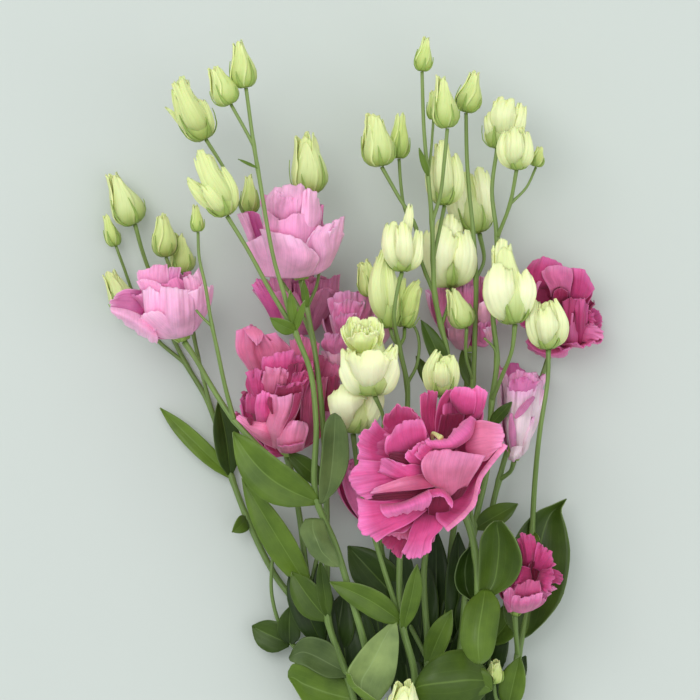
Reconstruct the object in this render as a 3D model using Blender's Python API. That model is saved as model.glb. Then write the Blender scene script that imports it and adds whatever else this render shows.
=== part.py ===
"""Cut bunch of lisianthus, lying on its back on the surface at z = 0.

Metres in the file, millimetres in the lists below. +Y runs from the tie to the flower heads, +Z up.
The origin is on the surface under the tie. Positions are judged by eye from straight above, so at()
draws a high point in towards the middle of the view.
"""

import math

import bmesh
import bpy
from mathutils import Vector

for item in list(bpy.data.objects):
    bpy.data.objects.remove(item, do_unlink=True)

PARTS = bpy.data.collections.new("lisianthus_bunch")
bpy.context.scene.collection.children.link(PARTS)

MM = 0.001
EYE_HEIGHT = 2500.0
EYE_X = -30.0
EYE_Y = 275.0

TRUNK_SIDES = 5
TWIG_SIDES = 4
STEM_STEP = 6.0
STEM_SLACK = 0.55
LEAF_THICK = 0.7
PETAL_THICK = 0.8
SEAT_GAP = 0.3

# Filled by make_stem: point, direction and radius of each end that carries a bud or bloom.
STEM_ENDS = []

# Places of the eleven stems inside the tie, (x, z).
TIE_PLACES = {
    "a": (-7.2, 12.6),
    "b": (-7.2, 3.9),
    "c": (-4.8, 8.25),
    "d": (-2.4, 3.9),
    "e": (-2.4, 12.6),
    "f": (0.0, 8.25),
    "g": (2.4, 3.9),
    "h": (4.8, 8.25),
    "i": (7.2, 12.6),
    "j": (7.2, 3.9),
    "k": (2.4, 12.6),
}

# Cut ends, (x, y, z): the bundle loosens a little below the tie.
CUT_ENDS = {
    "a": (-13.0, -104.0, 16.5),
    "b": (-17.0, -109.0, 3.0),
    "c": (-9.0, -112.0, 9.5),
    "d": (-6.5, -106.0, 3.0),
    "e": (-4.0, -101.0, 18.0),
    "f": (0.5, -110.0, 10.5),
    "g": (5.0, -113.0, 3.0),
    "h": (9.0, -105.0, 10.0),
    "i": (14.5, -102.0, 17.0),
    "j": (17.0, -108.0, 3.0),
    "k": (5.0, -108.0, 18.0),
}

# Each stem: trunk above the tie, side branches, leaves.
# Trunk and branch points are (x, y, z, radius).
# A leaf is (base, tip, half width, roll, arch): roll in degrees tilts the blade about its length.
STEMS = {
    "a": {
        "trunk": [
            (-15, 60, 32, 2.1), (-22, 125, 48, 2.1), (-29, 150, 54, 2.0), (-37.5, 178, 59, 2.0),
            (-46.5, 199.5, 64, 2.0), (-47, 240, 73, 1.7), (-50, 265, 80, 1.6), (-57.5, 284.5, 86, 1.6),
            (-63, 303, 90, 1.3), (-67.5, 318, 92, 1.2), (-71, 335, 94, 1.2), (-74.5, 356, 94, 1.2),
            (-78, 377, 94, 1.1), (-82, 406.0, 93, 1.1),
        ],
        "branches": [
            [(-78, 377, 94, 1.0), (-84, 388, 94, 1.0), (-89.5, 397.7, 93, 1.0)],
            [(-57.5, 284.5, 86, 1.5), (-70, 305, 88, 1.3), (-82.5, 327.5, 88, 1.2), (-91.5, 342.0, 87, 1.3)],
            [(-46.5, 199.5, 64, 1.9), (-63, 215, 62, 1.8), (-80, 231, 59, 1.8), (-88, 240, 58, 1.7),
             (-100, 258, 52, 1.6), (-108, 272, 46, 1.6), (-112.8, 279.0, 43.2, 1.9)],
            [(-88, 240, 58, 1.5), (-92.5, 257, 66, 1.3), (-97, 278, 72, 1.2), (-99, 287, 73, 1.1),
             (-102.5, 308, 74, 1.0), (-105.5, 322, 73, 0.9), (-106, 334.0, 72, 0.9)],
            [(-99, 287, 73, 0.9), (-103, 290.5, 74.5, 0.8), (-107, 295, 75.5, 0.8)],
        ],
        "leaves": [
            ((-46.5, 199, 65), (-88.5, 234, 66), 10.5, 10, 4, -5),
            ((-46, 200, 66), (-35, 242, 79), 6.8, 10, 3),
            ((-43, 190, 63), (-37, 168, 71), 7.0, 30, 5),
            ((-57.5, 284.5, 87), (-60, 305, 93), 2.4, 0, 1),
            ((-57.5, 284.5, 87), (-70, 291, 93), 3.6, 15, 2),
            ((-78, 377, 94), (-86, 370.5, 96), 1.2, 0, 0.5),
            ((-57.5, 284.5, 87), (-52.5, 300, 93), 1.8, 0, 1),
        ],
    },
    "b": {
        "trunk": [
            (-20, 60, 6, 2.1), (-40, 115, 7, 2.0), (-49, 131.5, 7, 2.0), (-55, 145, 7, 2.0),
            (-67.5, 162.5, 7, 1.9), (-80, 187.5, 7, 1.9), (-89.5, 212.5, 6, 1.8), (-95, 232, 5, 1.7),
            (-101.5, 250, 2.6, 1.6), (-112, 268, 1.5, 1.4), (-119, 282, 2.4, 1.3), (-128, 308, 6, 1.2),
            (-134, 325, 11, 1.2), (-137.5, 337.8, 14, 1.3),
        ],
        "branches": [
            [(-112, 268, 1.5, 1.2), (-128, 282, 2.4, 1.1), (-138, 302, 5, 1.0), (-143, 316, 8, 0.9),
             (-147, 326.9, 11, 0.9)],
            [(-128, 282, 2.4, 1.0), (-135, 288, 10, 0.9), (-140, 293, 15.5, 1.0)],
            [(-95, 232, 5, 1.4), (-101, 252, 9, 1.2), (-106, 272, 11, 1.1), (-110, 295, 11, 1.1),
             (-113, 313.5, 12, 1.3)],
            [(-106, 272, 11, 1.1), (-110, 288, 14, 1.0), (-116, 305, 19, 1.0), (-122, 321.4, 23.6, 1.1)],
            [(-40, 115, 7, 1.6), (-58, 127, 9, 1.4), (-66, 140, 13, 1.2), (-69, 152, 15, 1.1),
             (-68.5, 176, 17, 1.0)],
        ],
        "leaves": [
            ((-89, 211, 6), (-125, 246, 5), 4.6, 0, 4),
            ((-90, 213, 7), (-96, 250, 22), 7.0, -20, 3),
            ((-82, 191, 8), (-89, 184, 15), 4.2, 20, 2),
            ((-60, 128, 10), (-79, 137, 9), 8.0, 5, 2),
            ((-60, 128, 10), (-60, 147, 20), 6.0, 10, 2),
        ],
    },
    "c": {
        "trunk": [
            (-17, 60, 20, 2.1), (-32.5, 115, 30, 2.0), (-41, 140, 34, 2.0), (-41.5, 170, 39, 1.9),
            (-42, 210, 48, 1.8), (-43, 230, 58, 1.7), (-44.5, 250, 64, 1.6), (-48.5, 280, 63, 1.5), (-51.5, 296, 61, 1.5),
            (-54.2, 309.6, 58, 2.0),
        ],
        "branches": [
            [(-48.5, 280, 63, 1.2), (-56, 297, 52, 1.1), (-68, 315, 44, 1.0), (-78, 332, 38, 1.0),
             (-83.5, 343.5, 42, 1.0), (-92, 364, 50, 1.0), (-102.0, 380.2, 55, 1.2)],
            [(-51.5, 296, 61, 1.1), (-46, 310, 46, 1.0), (-46, 332, 36, 1.0), (-49, 353.0, 38, 1.2)],
            [(-78, 332, 38, 0.9), (-79.5, 338, 35, 0.9), (-79.5, 343.0, 33, 1.0)],
        ],
        "leaves": [
            ((-33, 114, 30), (-61, 130, 33), 12.0, -10, 4),
            ((-28, 98, 27), (-60, 108, 26), 11.0, -5, 4),
            ((-42.5, 208, 47), (-61, 224, 52), 5.0, 0, 2),
            ((-41, 140, 34), (-59, 164, 36), 8.0, 15, 3),
            ((-41, 141, 35), (-45, 170, 47), 3.6, 0, 1),
            ((-51.5, 296, 62), (-53.5, 310, 66), 2.0, 0, 0.5),
        ],
    },
    "d": {
        "trunk": [
            (-13, 60, 9, 2.1), (-38, 122, 15, 2.0), (-50, 155, 18, 1.9), (-55, 190, 20, 1.8),
            (-58, 208, 22, 1.7), (-61.5, 222.0, 24.4, 2.1),
        ],
        "branches": [
            [(-50, 155, 18, 1.4), (-43, 190, 12, 1.2), (-41, 215, 7, 1.1), (-42, 242, 3.2, 1.1),
             (-46, 266, 3.4, 1.1), (-55.5, 282.2, 18.7, 1.6)],
            [(-43, 190, 12, 1.2), (-40, 214, 13, 1.1), (-34, 232, 14, 1.1), (-28, 252, 18, 1.1),
             (-24.8, 268.2, 25.4, 1.5)],
        ],
        "leaves": [
            ((-50, 155, 19), (-85, 211, 27), 10.5, 20, 6),
            ((-38, 122, 15), (-33, 154, 19), 8.0, 0, 2),
        ],
    },
    "e": {
        "trunk": [
            (-2, 60, 32, 2.1), (2, 115, 46, 2.1), (-4, 138, 50, 2.0), (-5, 180, 52, 1.8),
            (-4, 220, 54, 1.7), (-1.5, 258, 58, 1.5), (-5.5, 277, 60, 1.4), (-8, 292, 70, 1.2),
            (-6.5, 304, 72, 1.1), (-4, 313.9, 69, 1.3),
        ],
        "branches": [
            [(-4, 138, 50, 1.7), (-12, 162, 55, 1.5), (-19, 185, 58, 1.4), (-25, 208, 59, 1.3),
             (-28.5, 233.2, 58, 1.6)],
            [(-25, 208, 59, 1.2), (-16, 226, 63, 1.1), (-13.5, 242, 72, 1.1), (-17.5, 251.8, 78, 1.5)],
            [(-5.5, 277, 60, 1.1), (-8.5, 281, 59, 1.1), (-9.8, 285.6, 58, 1.2)],
            [(-5.5, 277, 60, 1.1), (-3, 281, 55, 1.1), (-2.8, 285.8, 51, 1.1)],
            [(-2, 60, 32, 1.7), (-8, 72, 48, 1.5), (-4.3, 85.6, 62, 1.7)],
            [(-1.5, 258, 58, 1.1), (3.5, 268, 50, 1.0), (3.5, 284, 46, 0.9), (-7, 296, 46, 0.9),
             (-18.2, 301.8, 46.5, 1.0)],
        ],
        "leaves": [
            ((-4.5, 139, 51), (-40, 159, 58), 8.5, 15, 4, 3),
            ((-4.5, 136, 52), (-29, 103, 53), 11.5, 0, 5),
            ((-3.5, 136, 51), (3.5, 168, 62), 4.8, -20, 2),
        ],
    },
    "f": {
        "trunk": [
            (3, 60, 19, 2.1), (9, 120, 27, 2.0), (7, 165, 33, 1.9), (15, 215, 37, 1.8), (18.5, 250, 41, 1.7),
            (18.5, 275, 45, 1.6), (15.5, 287, 48, 1.6), (12.5, 302, 54, 1.5), (11.5, 320, 58, 1.4),
            (11, 339, 61, 1.4), (9, 362, 64, 1.2), (7, 385, 66, 1.1), (6, 414.2, 66, 1.0),
        ],
        "branches": [
            [(9, 362, 64, 0.9), (10.5, 374, 60, 0.8), (11.7, 390.0, 57, 0.8)],
            [(11, 339, 61, 1.2), (15, 352, 65, 1.1), (17, 368, 69, 1.1), (18.7, 385.8, 70, 1.1)],
            [(15.5, 287, 48, 1.2), (19, 297, 42, 1.1), (21, 306.0, 38, 1.5)],
            [(12.5, 302, 54, 1.2), (5, 322, 50, 1.1), (3, 336, 51, 1.1), (-6.5, 353, 52, 1.1),
             (-14.2, 366.6, 52, 1.2)],
            [(3, 336, 51, 1.0), (-2.5, 345, 44, 1.0), (-4.5, 357, 43, 1.0), (-5.5, 370.6, 44, 1.0)],
            [(11.5, 320, 58, 1.1), (14.5, 334, 54, 1.1), (17.2, 347.0, 48, 1.2)],
            [(9, 120, 27, 1.5), (-6, 150, 18, 1.4), (-13, 170, 14, 1.3), (-15.2, 183.6, 16.4, 1.6)],
        ],
        "leaves": [
            ((18, 262, 43), (5.5, 290, 47), 4.6, -15, 3),
            ((18.5, 250, 42), (3, 272, 38), 4.0, 20, 2),
            ((9, 362, 65), (4.5, 376, 69), 1.6, 0, 0.5),
            ((9, 118, 28), (21, 145, 37), 6.0, 15, 2),
            ((-6, 150, 18), (-31, 177, 26), 10.5, 0, 3),
        ],
    },
    "g": {
        "trunk": [
            (8, 60, 8, 2.1), (17.5, 125, 12, 2.0), (20, 170, 15, 1.9), (26, 215, 19, 1.8),
            (31.5, 260, 28, 1.6), (32.5, 285, 35, 1.5), (33, 310.5, 43, 1.4), (32, 330, 48, 1.3),
            (30, 350, 49, 1.2), (28.5, 370, 50, 1.2), (28, 393.6, 49, 1.1),
        ],
        "branches": [
            [(33, 310.5, 43, 1.1), (37, 320, 34, 1.1), (34.8, 333.0, 26.5, 1.5)],
            [(31.5, 260, 28, 1.1), (28, 272, 38, 1.0), (28.3, 286.0, 46, 1.1)],
            [(26, 215, 19, 1.3), (27, 245, 13, 1.2), (29.6, 273.6, 14.4, 1.6)],
        ],
        "leaves": [
            ((31, 256, 27), (26, 275, 22), 3.5, 10, 1),
            ((17.5, 125, 13), (23, 154, 22), 5.5, -15, 2),
        ],
    },
    "h": {
        "trunk": [
            (13, 60, 19, 2.1), (25, 125, 26, 2.0), (29, 165, 30, 1.9), (33.5, 192.5, 32, 1.9),
            (38.5, 215, 34, 1.8), (41, 250, 38, 1.7), (43.5, 270, 41, 1.6), (41.5, 292.5, 45, 1.5),
            (43, 312, 47, 1.4), (43.5, 331, 50, 1.4), (41, 355, 49, 1.2), (43.5, 375.6, 46, 1.2),
        ],
        "branches": [
            [(43.5, 331, 50, 1.2), (50, 348, 58, 1.1), (53.3, 365.0, 64, 1.2)],
            [(50, 348, 58, 0.9), (58, 356, 57, 0.8), (63, 366.4, 55, 0.8)],
            [(41, 250, 38, 1.4), (46, 262, 50, 1.3), (51, 275, 58, 1.2), (52.5, 287.8, 61, 1.6)],
            [(43.5, 270, 41, 0.9), (42, 276, 44, 0.8), (37, 281, 46.5, 0.7)],
        ],
        "leaves": [
            ((40, 237, 37), (51, 249, 42), 3.0, 10, 1),
            ((33, 186, 32), (54, 198, 38), 5.5, 10, 2),
        ],
    },
    "i": {
        "trunk": [
            (28, 55, 26, 2.1), (49, 95, 33, 2.1), (54, 122, 34, 2.0), (59, 150, 25, 1.9),
            (61, 183.5, 26, 1.7), (62.5, 210, 36, 1.6), (65, 235, 51, 1.5), (69, 262, 53, 1.3),
            (69.2, 275.3, 54, 1.6),
        ],
        "branches": [
            [(54, 122, 34, 1.6), (53, 133, 40, 1.5), (52.3, 142.6, 45, 1.9)],
            [(49, 95, 33, 1.3), (43, 101, 40, 1.1), (42, 108.4, 44, 1.0)],
        ],
        "leaves": [
            ((55, 126, 32), (78, 199, 21), 14.5, -8, 2.5),
            ((49, 96, 33), (55, 122, 45), 6.5, 10, 2),
            ((61, 183.5, 26), (65, 179, 31), 1.6, 0, 0.5),
        ],
    },
    "j": {
        "trunk": [
            (20, 60, 7, 2.1), (41, 125, 8, 2.0), (40.5, 170, 8, 1.9), (41, 195, 8, 1.8), (44.5, 210, 8, 1.7),
            (50, 228, 7, 1.6), (59, 244, 7, 1.5), (66, 262, 7, 1.4), (72.2, 279.8, 6.0, 2.0),
        ],
        "branches": [
            [(44.5, 210, 8, 1.3), (50, 214, 12, 1.3), (51.9, 219.0, 18.4, 1.6)],
        ],
        "leaves": [
            ((41, 128, 9), (60, 152, 16), 7.5, 15, 3),
        ],
    },
    "k": {
        "trunk": [
            (12, 60, 34, 2.2), (28, 115, 52, 2.2), (34, 132, 57, 2.2), (34, 152, 61, 2.2), (33, 172, 64, 2.2),
            (27.5, 192, 68, 2.2), (17.4, 208.8, 71.2, 2.6),
        ],
        "branches": [
            [(33, 172, 64, 1.3), (27, 215, 62, 1.2), (20, 238, 66, 1.1), (15.2, 252.2, 72, 1.2)],
        ],
        "leaves": [
            ((34, 151, 62), (35.5, 118, 70), 9.5, 0, 3),
            ((34, 152, 61), (44.5, 188.5, 72), 10.5, 8, 3),
            ((34, 151, 60), (23, 177, 62), 7.5, -10, 2),
            ((25, 106, 49), (1, 104, 58), 12.0, -5, 3),
            ((28, 113, 52), (41, 105, 52), 7.0, 0, 2),
        ],
    },
}

# Buds: (name, base point, tip point, belly radius, kind). Kind 0 closed, 1 frilled and partly open.
BUDS = [
    ("bud_01", (-102.5, 381, 55), (-117, 410, 58), 10.0, 1),
    ("bud_02", (-89.5, 398, 93), (-99, 417, 94), 6.4, 0),
    ("bud_03", (-82, 406.5, 93), (-86.5, 430, 94), 6.0, 0),
    ("bud_04", (-92, 342.5, 87), (-104, 375, 90), 9.5, 1),
    ("bud_05", (-138, 338.5, 14), (-150, 364, 18), 8.0, 0),
    ("bud_06", (-147.3, 327.5, 11), (-152.5, 343, 13), 3.3, 0),
    ("bud_07", (-122.5, 322.5, 24), (-124.5, 343.5, 26), 6.0, 0),
    ("bud_08", (-113, 314.5, 12), (-116, 334, 14), 6.0, 0),
    ("bud_09", (-106, 334.5, 72), (-107.5, 348, 72), 2.9, 0),
    ("bud_10", (-49, 354, 38), (-54, 384, 40), 8.8, 1),
    ("bud_11", (-79.5, 344, 33), (-81, 363, 34), 4.2, 0),
    ("bud_12", (-140.8, 294.0, 16.2), (-151, 315, 20), 6.5, 1),
    ("bud_13", (-14.5, 367.5, 52), (-19, 394, 54), 8.0, 1),
    ("bud_14", (-5.5, 371.4, 44), (-5, 394, 45), 4.8, 0),
    ("bud_15", (6, 415, 66), (8, 432, 66), 4.0, 0),
    ("bud_16", (11.8, 391, 57), (11, 405, 57), 2.4, 0),
    ("bud_17", (18.8, 386.5, 70), (15, 413, 71), 6.3, 0),
    ("bud_18", (28, 394.5, 49), (32.5, 415, 49), 6.0, 0),
    ("bud_19", (43.5, 376.5, 45.8), (46, 402, 45), 8.5, 1),
    ("bud_20", (53.4, 365.8, 64.4), (54, 389, 68), 8.0, 1),
    ("bud_21", (63.2, 367, 55), (65, 377, 56), 3.3, 0),
    ("bud_22", (-4, 87, 63.4), (-3, 110, 68), 9.0, 1),
    ("bud_23", (17.3, 347.8, 47.6), (16, 382, 47), 8.0, 1),
    ("bud_24", (34.4, 333.8, 26.0), (25, 367, 26), 10.5, 1),
    ("bud_25", (21, 306.8, 37.6), (18, 343, 37), 11.0, 1),
    ("bud_26", (-4, 315, 69), (-4, 341, 71), 9.0, 1),
    ("bud_27", (-10, 286.5, 57.9), (-14.5, 326, 58), 7.0, 1),
    ("bud_28", (-2.8, 286.6, 50.6), (5, 309, 50), 5.0, 0),
    ("bud_29", (52.5, 289, 61), (45, 331, 64), 11.5, 1),
    ("bud_30", (69.2, 276.5, 54), (67, 302, 56), 8.8, 1),
    ("bud_31", (28.3, 287, 46), (20, 306, 48), 6.0, 0),
    ("bud_32", (-18, 253, 78), (-22, 292, 82), 13.5, 2),
    ("bud_33", (-28.8, 234.5, 58), (-25.5, 263, 60), 11.5, 1),
    ("bud_34", (15, 253, 72), (18, 275, 76), 7.5, 1),
    ("bud_35", (-19.2, 302.8, 46.5), (-24, 320, 48), 5.5, 1),
    ("bud_36", (42, 109.2, 44.4), (42.5, 120, 47.5), 4.0, 1),
]

# Blooms: name, base point, axis, and rows of petals from the outside in.
# A row is (count, first azimuth, length, half width, open at base, open at rim, leave out).
BLOOMS = {
    "bloom_01": {
        "base": (-54.5, 311, 57.5), "axis": (-0.10, 1.0, 0.10), "core": 4.5,
        "rows": [(3, 85, 28, 16, 90, 0), (1, 146, 37, 13, 84, 36), (1, 10, 35, 10, 80, 14), (4, 30, 41, 12, 56, -20)],
    },
    "bloom_02": {
        "base": (-113.5, 280, 43), "axis": (-0.40, 1.0, 0.12), "core": 4.5,
        "rows": [(3, 115, 29, 15, 90, 0), (1, 48, 38, 12, 90, 44), (4, 60, 35, 12, 60, 2)],
    },
    "bloom_03": {
        "base": (-55.5, 283.5, 19.5), "axis": (0.0, 1.0, 0.08), "core": 3.8,
        "rows": [(5, 60, 28, 10.5, 80, 12), (2, 20, 26, 9, 36, 0)],
    },
    "bloom_04": {
        "base": (-62, 223.5, 25), "axis": (-0.05, 1.0, 0.30), "core": 4.5, "steps": 4, "lean": 2.2,
        "rows": [(5, 50, 46, 16, 86, 6), (4, 20, 50, 12, 50, 2)],
    },
    "bloom_05": {
        "base": (-25.5, 269, 26), "axis": (-0.04, 1.0, 0.12), "core": 3.5,
        "rows": [(5, 70, 33, 10, 70, -4), (2, 20, 31, 8, 30, -6)],
    },
    "bloom_06": {
        "base": (16.5, 209, 74), "axis": (-0.24, 0.06, 1.0), "core": 5.0, "steps": 4, "lean": 2.4, "bend": 0.8,
        "rows": [(6, 90, 44, 19, 52, 82), (5, 55, 40, 17, 30, 56), (3, 20, 34, 13, 10, 28)],
    },
    "bloom_07": {
        "base": (73, 281, 6.8), "axis": (0.20, 0.66, 0.55), "core": 4.0, "lean": 1.8,
        "rows": [(6, 80, 28, 12, 84, 28), (4, 40, 31, 10, 42, 12)],
    },
    "bloom_08": {
        "base": (29.7, 274.5, 15), "axis": (-0.06, 1.0, 0.0), "core": 3.2,
        "rows": [(4, 60, 34, 10, 68, -8), (3, 20, 31, 6, 26, -4)],
    },
    "bloom_09": {
        "base": (52, 220, 19), "axis": (0.09, 1.0, 0.06), "core": 2.8,
        "rows": [(4, 60, 42, 7, 30, -6), (1, 100, 34, 5, 12, 2)],
    },
    "bloom_10": {
        "base": (52.5, 144.2, 46), "axis": (0.30, 1.0, 0.40), "core": 3.2,
        "rows": [(5, 70, 33, 10, 66, 8), (3, 30, 32, 7, 30, 0)],
    },
    "bloom_11": {
        "base": (-15.3, 184.5, 17), "axis": (-0.08, 1.0, 0.0), "core": 3.2,
        "rows": [(4, 60, 36, 10, 66, -4), (3, 20, 32, 7, 28, 0)],
    },
}

TIE_HALF_WIDTH = 10.9
TIE_TOP = 16.6
TIE_THICK = 1.2
TIE_LENGTH = 9.0


def at(x, y, z):
    """World point for a place judged from above: higher places are drawn in to the middle."""
    near = z / EYE_HEIGHT
    return Vector((x + (EYE_X - x) * near, y + (EYE_Y - y) * near, z))


def slope(before, here, after):
    """Change per millimetre at a point, weighted by the lengths of the spans beside it."""
    if before is None:
        reach = math.dist(here[:3], after[:3])
        return [(b - a) / reach for a, b in zip(here, after)]
    if after is None:
        reach = math.dist(before[:3], here[:3])
        return [(b - a) / reach for a, b in zip(before, here)]
    back = math.dist(before[:3], here[:3])
    ahead = math.dist(here[:3], after[:3])
    return [
        ((c - b) / ahead * back + (b - a) / back * ahead) / (back + ahead)
        for a, b, c in zip(before, here, after)
    ]


def smooth_path(points, step):
    """Curve through the points with their radii, sampled about every step."""
    count = len(points)
    path = []
    for index in range(count - 1):
        p1 = points[index]
        p2 = points[index + 1]
        p0 = points[index - 1] if index > 0 else None
        p3 = points[index + 2] if index + 2 < count else None
        reach = math.dist(p1[:3], p2[:3])
        leave = slope(p0, p1, p2)
        arrive = slope(p1, p2, p3)
        parts = max(1, round(reach / step))
        for part in range(parts):
            t = part / parts
            path.append(tuple(
                a * (2 * t ** 3 - 3 * t * t + 1) + b * (3 * t * t - 2 * t ** 3)
                + reach * (m * (t ** 3 - 2 * t * t + t) + n * (t ** 3 - t * t))
                for a, b, m, n in zip(p1, p2, leave, arrive)
            ))
    path.append(tuple(points[-1]))
    return path


def thin_out(path, slack):
    """Leaves out the samples that lie within the slack of a straight line."""
    if len(path) < 3:
        return path
    first = Vector(path[0])
    last = Vector(path[-1])
    run = last - first
    worst = 0.0
    split = 0
    for index in range(1, len(path) - 1):
        here = Vector(path[index]) - first
        share = max(0.0, min(1.0, here.dot(run) / max(run.dot(run), 1e-9)))
        miss = (here - run * share).length
        if miss > worst:
            worst = miss
            split = index
    if worst <= slack:
        return [path[0], path[-1]]
    return thin_out(path[:split + 1], slack)[:-1] + thin_out(path[split:], slack)


def new_mesh(name, points, faces):
    mesh = bpy.data.meshes.new(name)
    mesh.from_pydata([tuple(Vector(p) * MM) for p in points], [], faces)
    work = bmesh.new()
    work.from_mesh(mesh)
    bmesh.ops.recalc_face_normals(work, faces=work.faces)
    bmesh.ops.triangulate(work, faces=[f for f in work.faces if len(f.verts) > 4])
    work.to_mesh(mesh)
    work.free()
    return mesh


def tube(name, points, sides=TRUNK_SIDES):
    """Round stem along a curve with a changing radius and flat ends."""
    path = thin_out(smooth_path(points, STEM_STEP), STEM_SLACK)
    centres = [Vector(p[:3]) for p in path]
    rings = []
    side = Vector((1, 0, 0))
    for index, centre in enumerate(centres):
        before = centres[max(index - 1, 0)]
        after = centres[min(index + 1, len(centres) - 1)]
        along = (after - before).normalized()
        side = (side - along * side.dot(along)).normalized()
        other = along.cross(side)
        radius = path[index][3]
        for turn in range(sides):
            angle = 2 * math.pi * turn / sides
            rings.append(centre + side * (radius * math.cos(angle)) + other * (radius * math.sin(angle)))
    faces = []
    for ring in range(len(centres) - 1):
        for turn in range(sides):
            a = ring * sides + turn
            b = ring * sides + (turn + 1) % sides
            faces.append((a, b, b + sides, a + sides))
    faces.append(tuple(range(sides)))
    faces.append(tuple(range((len(centres) - 1) * sides, len(centres) * sides)))
    return new_mesh(name, rings, faces)


def sheet(name, grid, thickness):
    """Blade of even thickness from a grid of points; both faces are split into triangles alike."""
    rows = len(grid)
    columns = len(grid[0])
    normals = []
    for i in range(rows):
        line = []
        for j in range(columns):
            down = grid[min(i + 1, rows - 1)][j] - grid[max(i - 1, 0)][j]
            across = grid[i][min(j + 1, columns - 1)] - grid[i][max(j - 1, 0)]
            line.append(across.cross(down).normalized())
        normals.append(line)
    points = []
    for sign in (0.5, -0.5):
        for i in range(rows):
            for j in range(columns):
                points.append(grid[i][j] + normals[i][j] * (sign * thickness))
    below = rows * columns
    faces = []
    for i in range(rows - 1):
        for j in range(columns - 1):
            a = i * columns + j
            b = a + 1
            c = a + columns + 1
            d = a + columns
            if (i + j) % 2:
                faces += [(a, b, c), (a, c, d), (below + a, below + c, below + b), (below + a, below + d, below + c)]
            else:
                faces += [(a, b, d), (b, c, d), (below + a, below + d, below + b), (below + b, below + d, below + c)]
    rim = [j for j in range(columns)]
    rim += [i * columns + columns - 1 for i in range(1, rows)]
    rim += [(rows - 1) * columns + j for j in range(columns - 2, -1, -1)]
    rim += [i * columns for i in range(rows - 2, 0, -1)]
    for index, a in enumerate(rim):
        b = rim[(index + 1) % len(rim)]
        faces.append((a, below + a, below + b))
        faces.append((a, below + b, b))
    return new_mesh(name, points, faces)


LEAF_OUTLINE = [(0.0, 0.18), (0.17, 0.74), (0.42, 1.0), (0.69, 0.86), (0.89, 0.44), (1.0, 0.06)]
SMALL_OUTLINE = [(0.0, 0.20), (0.22, 0.82), (0.52, 1.0), (0.80, 0.64), (1.0, 0.07)]
SMALL_LEAF = 7.6


def leaf(name, base, tip, half_width, roll, arch, bow=0.0):
    """Pointed oval blade folded a little along its midrib and bowed to one side."""
    start = at(*base)
    end = at(*tip)
    along = (end - start).normalized()
    up = Vector((0, 0, 1))
    up = (up - along * up.dot(along)).normalized()
    across = along.cross(up)
    turn = math.radians(roll)
    side = across * math.cos(turn) + up * math.sin(turn)
    face = side.cross(along)
    grid = []
    for u, width in LEAF_OUTLINE if half_width > SMALL_LEAF else SMALL_OUTLINE:
        swing = math.sin(math.pi * u)
        middle = start.lerp(end, u) + face * (arch * swing) + side * (bow * swing)
        half = half_width * width
        lift = 0.28 * half
        grid.append([middle - side * half + face * lift, middle.copy(), middle + side * half + face * lift])
    return sheet(name, grid, LEAF_THICK)


def petal_line(length, low, high, bend, radius, height, reach):
    """Distance from the axis and height reached along a petal that opens from low to high degrees."""
    parts = 12
    for part in range(parts):
        u = (part + 0.5) / parts * reach
        angle = math.radians(low + (high - low) * u ** bend)
        radius += math.sin(angle) * length * reach / parts
        height += math.cos(angle) * length * reach / parts
    return radius, height


PETAL_OUTLINE = [0.0, 0.60, 0.93, 1.0, 0.74]


def petal(name, base, frame, azimuth, share, length, half_width, low, high, bend, start, lean, rows, columns=3):
    """Petal wrapped round the axis; one edge lies outside the next petal and the other edge inside."""
    axis, first, second = frame
    radius, height = start
    foot = 0.8 * math.pi * radius / max(share, 4)
    grid = []
    for i in range(rows):
        u = i / (rows - 1)
        place = u * (len(PETAL_OUTLINE) - 1)
        slot = min(int(place), len(PETAL_OUTLINE) - 2)
        width = PETAL_OUTLINE[slot] + (PETAL_OUTLINE[slot + 1] - PETAL_OUTLINE[slot]) * (place - slot)
        width = max(foot, half_width * width)
        line = []
        for j in range(columns):
            v = 2 * j / (columns - 1) - 1
            out, up = petal_line(length, low, high, bend, radius, height, u * (1 - 0.10 * u * v * v))
            wrap = max(out, width / 1.35)
            turn = math.radians(azimuth) + v * width / wrap
            out += lean * v * math.sqrt(u)
            line.append(base + axis * up + (first * math.cos(turn) + second * math.sin(turn)) * out)
        grid.append(line)
    return sheet(name, grid, PETAL_THICK)


def frame_of(axis):
    axis = Vector(axis).normalized()
    up = Vector((0, 0, 1))
    if abs(axis.z) > 0.9:
        up = Vector((0, 1, 0))
    first = up.cross(axis).normalized()
    second = axis.cross(first)
    return axis, first, second


def lathe(name, base, frame, profile, sides, lobes=0, depth=0.0, twist=0.0):
    """Closed body round an axis from (radius, height) pairs, with spiral lobes for folded petals."""
    axis, first, second = frame
    points = [base + axis * profile[0][1]]
    for radius, height in profile[1:-1]:
        for turn in range(sides):
            angle = 2 * math.pi * turn / sides + twist * height
            swell = 1 + depth * math.cos(lobes * 2 * math.pi * turn / sides) if lobes else 1
            reach = radius * swell
            points.append(base + axis * height + (first * math.cos(angle) + second * math.sin(angle)) * reach)
    points.append(base + axis * profile[-1][1])
    faces = []
    rings = len(profile) - 2
    for turn in range(sides):
        nxt = (turn + 1) % sides
        faces.append((0, 1 + nxt, 1 + turn))
        for ring in range(rings - 1):
            a = 1 + ring * sides + turn
            b = 1 + ring * sides + nxt
            faces.append((a, b, b + sides, a + sides))
        last = 1 + (rings - 1) * sides
        faces.append((last + turn, last + nxt, len(points) - 1))
    return new_mesh(name, points, faces)


def islands(work):
    """Groups of faces joined across edges."""
    left = set(work.faces)
    found = []
    while left:
        seed = left.pop()
        group = {seed}
        front = [seed]
        while front:
            face = front.pop()
            for edge in face.edges:
                for other in edge.link_faces:
                    if other in left:
                        left.remove(other)
                        group.add(other)
                        front.append(other)
        found.append(group)
    return found


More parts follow.
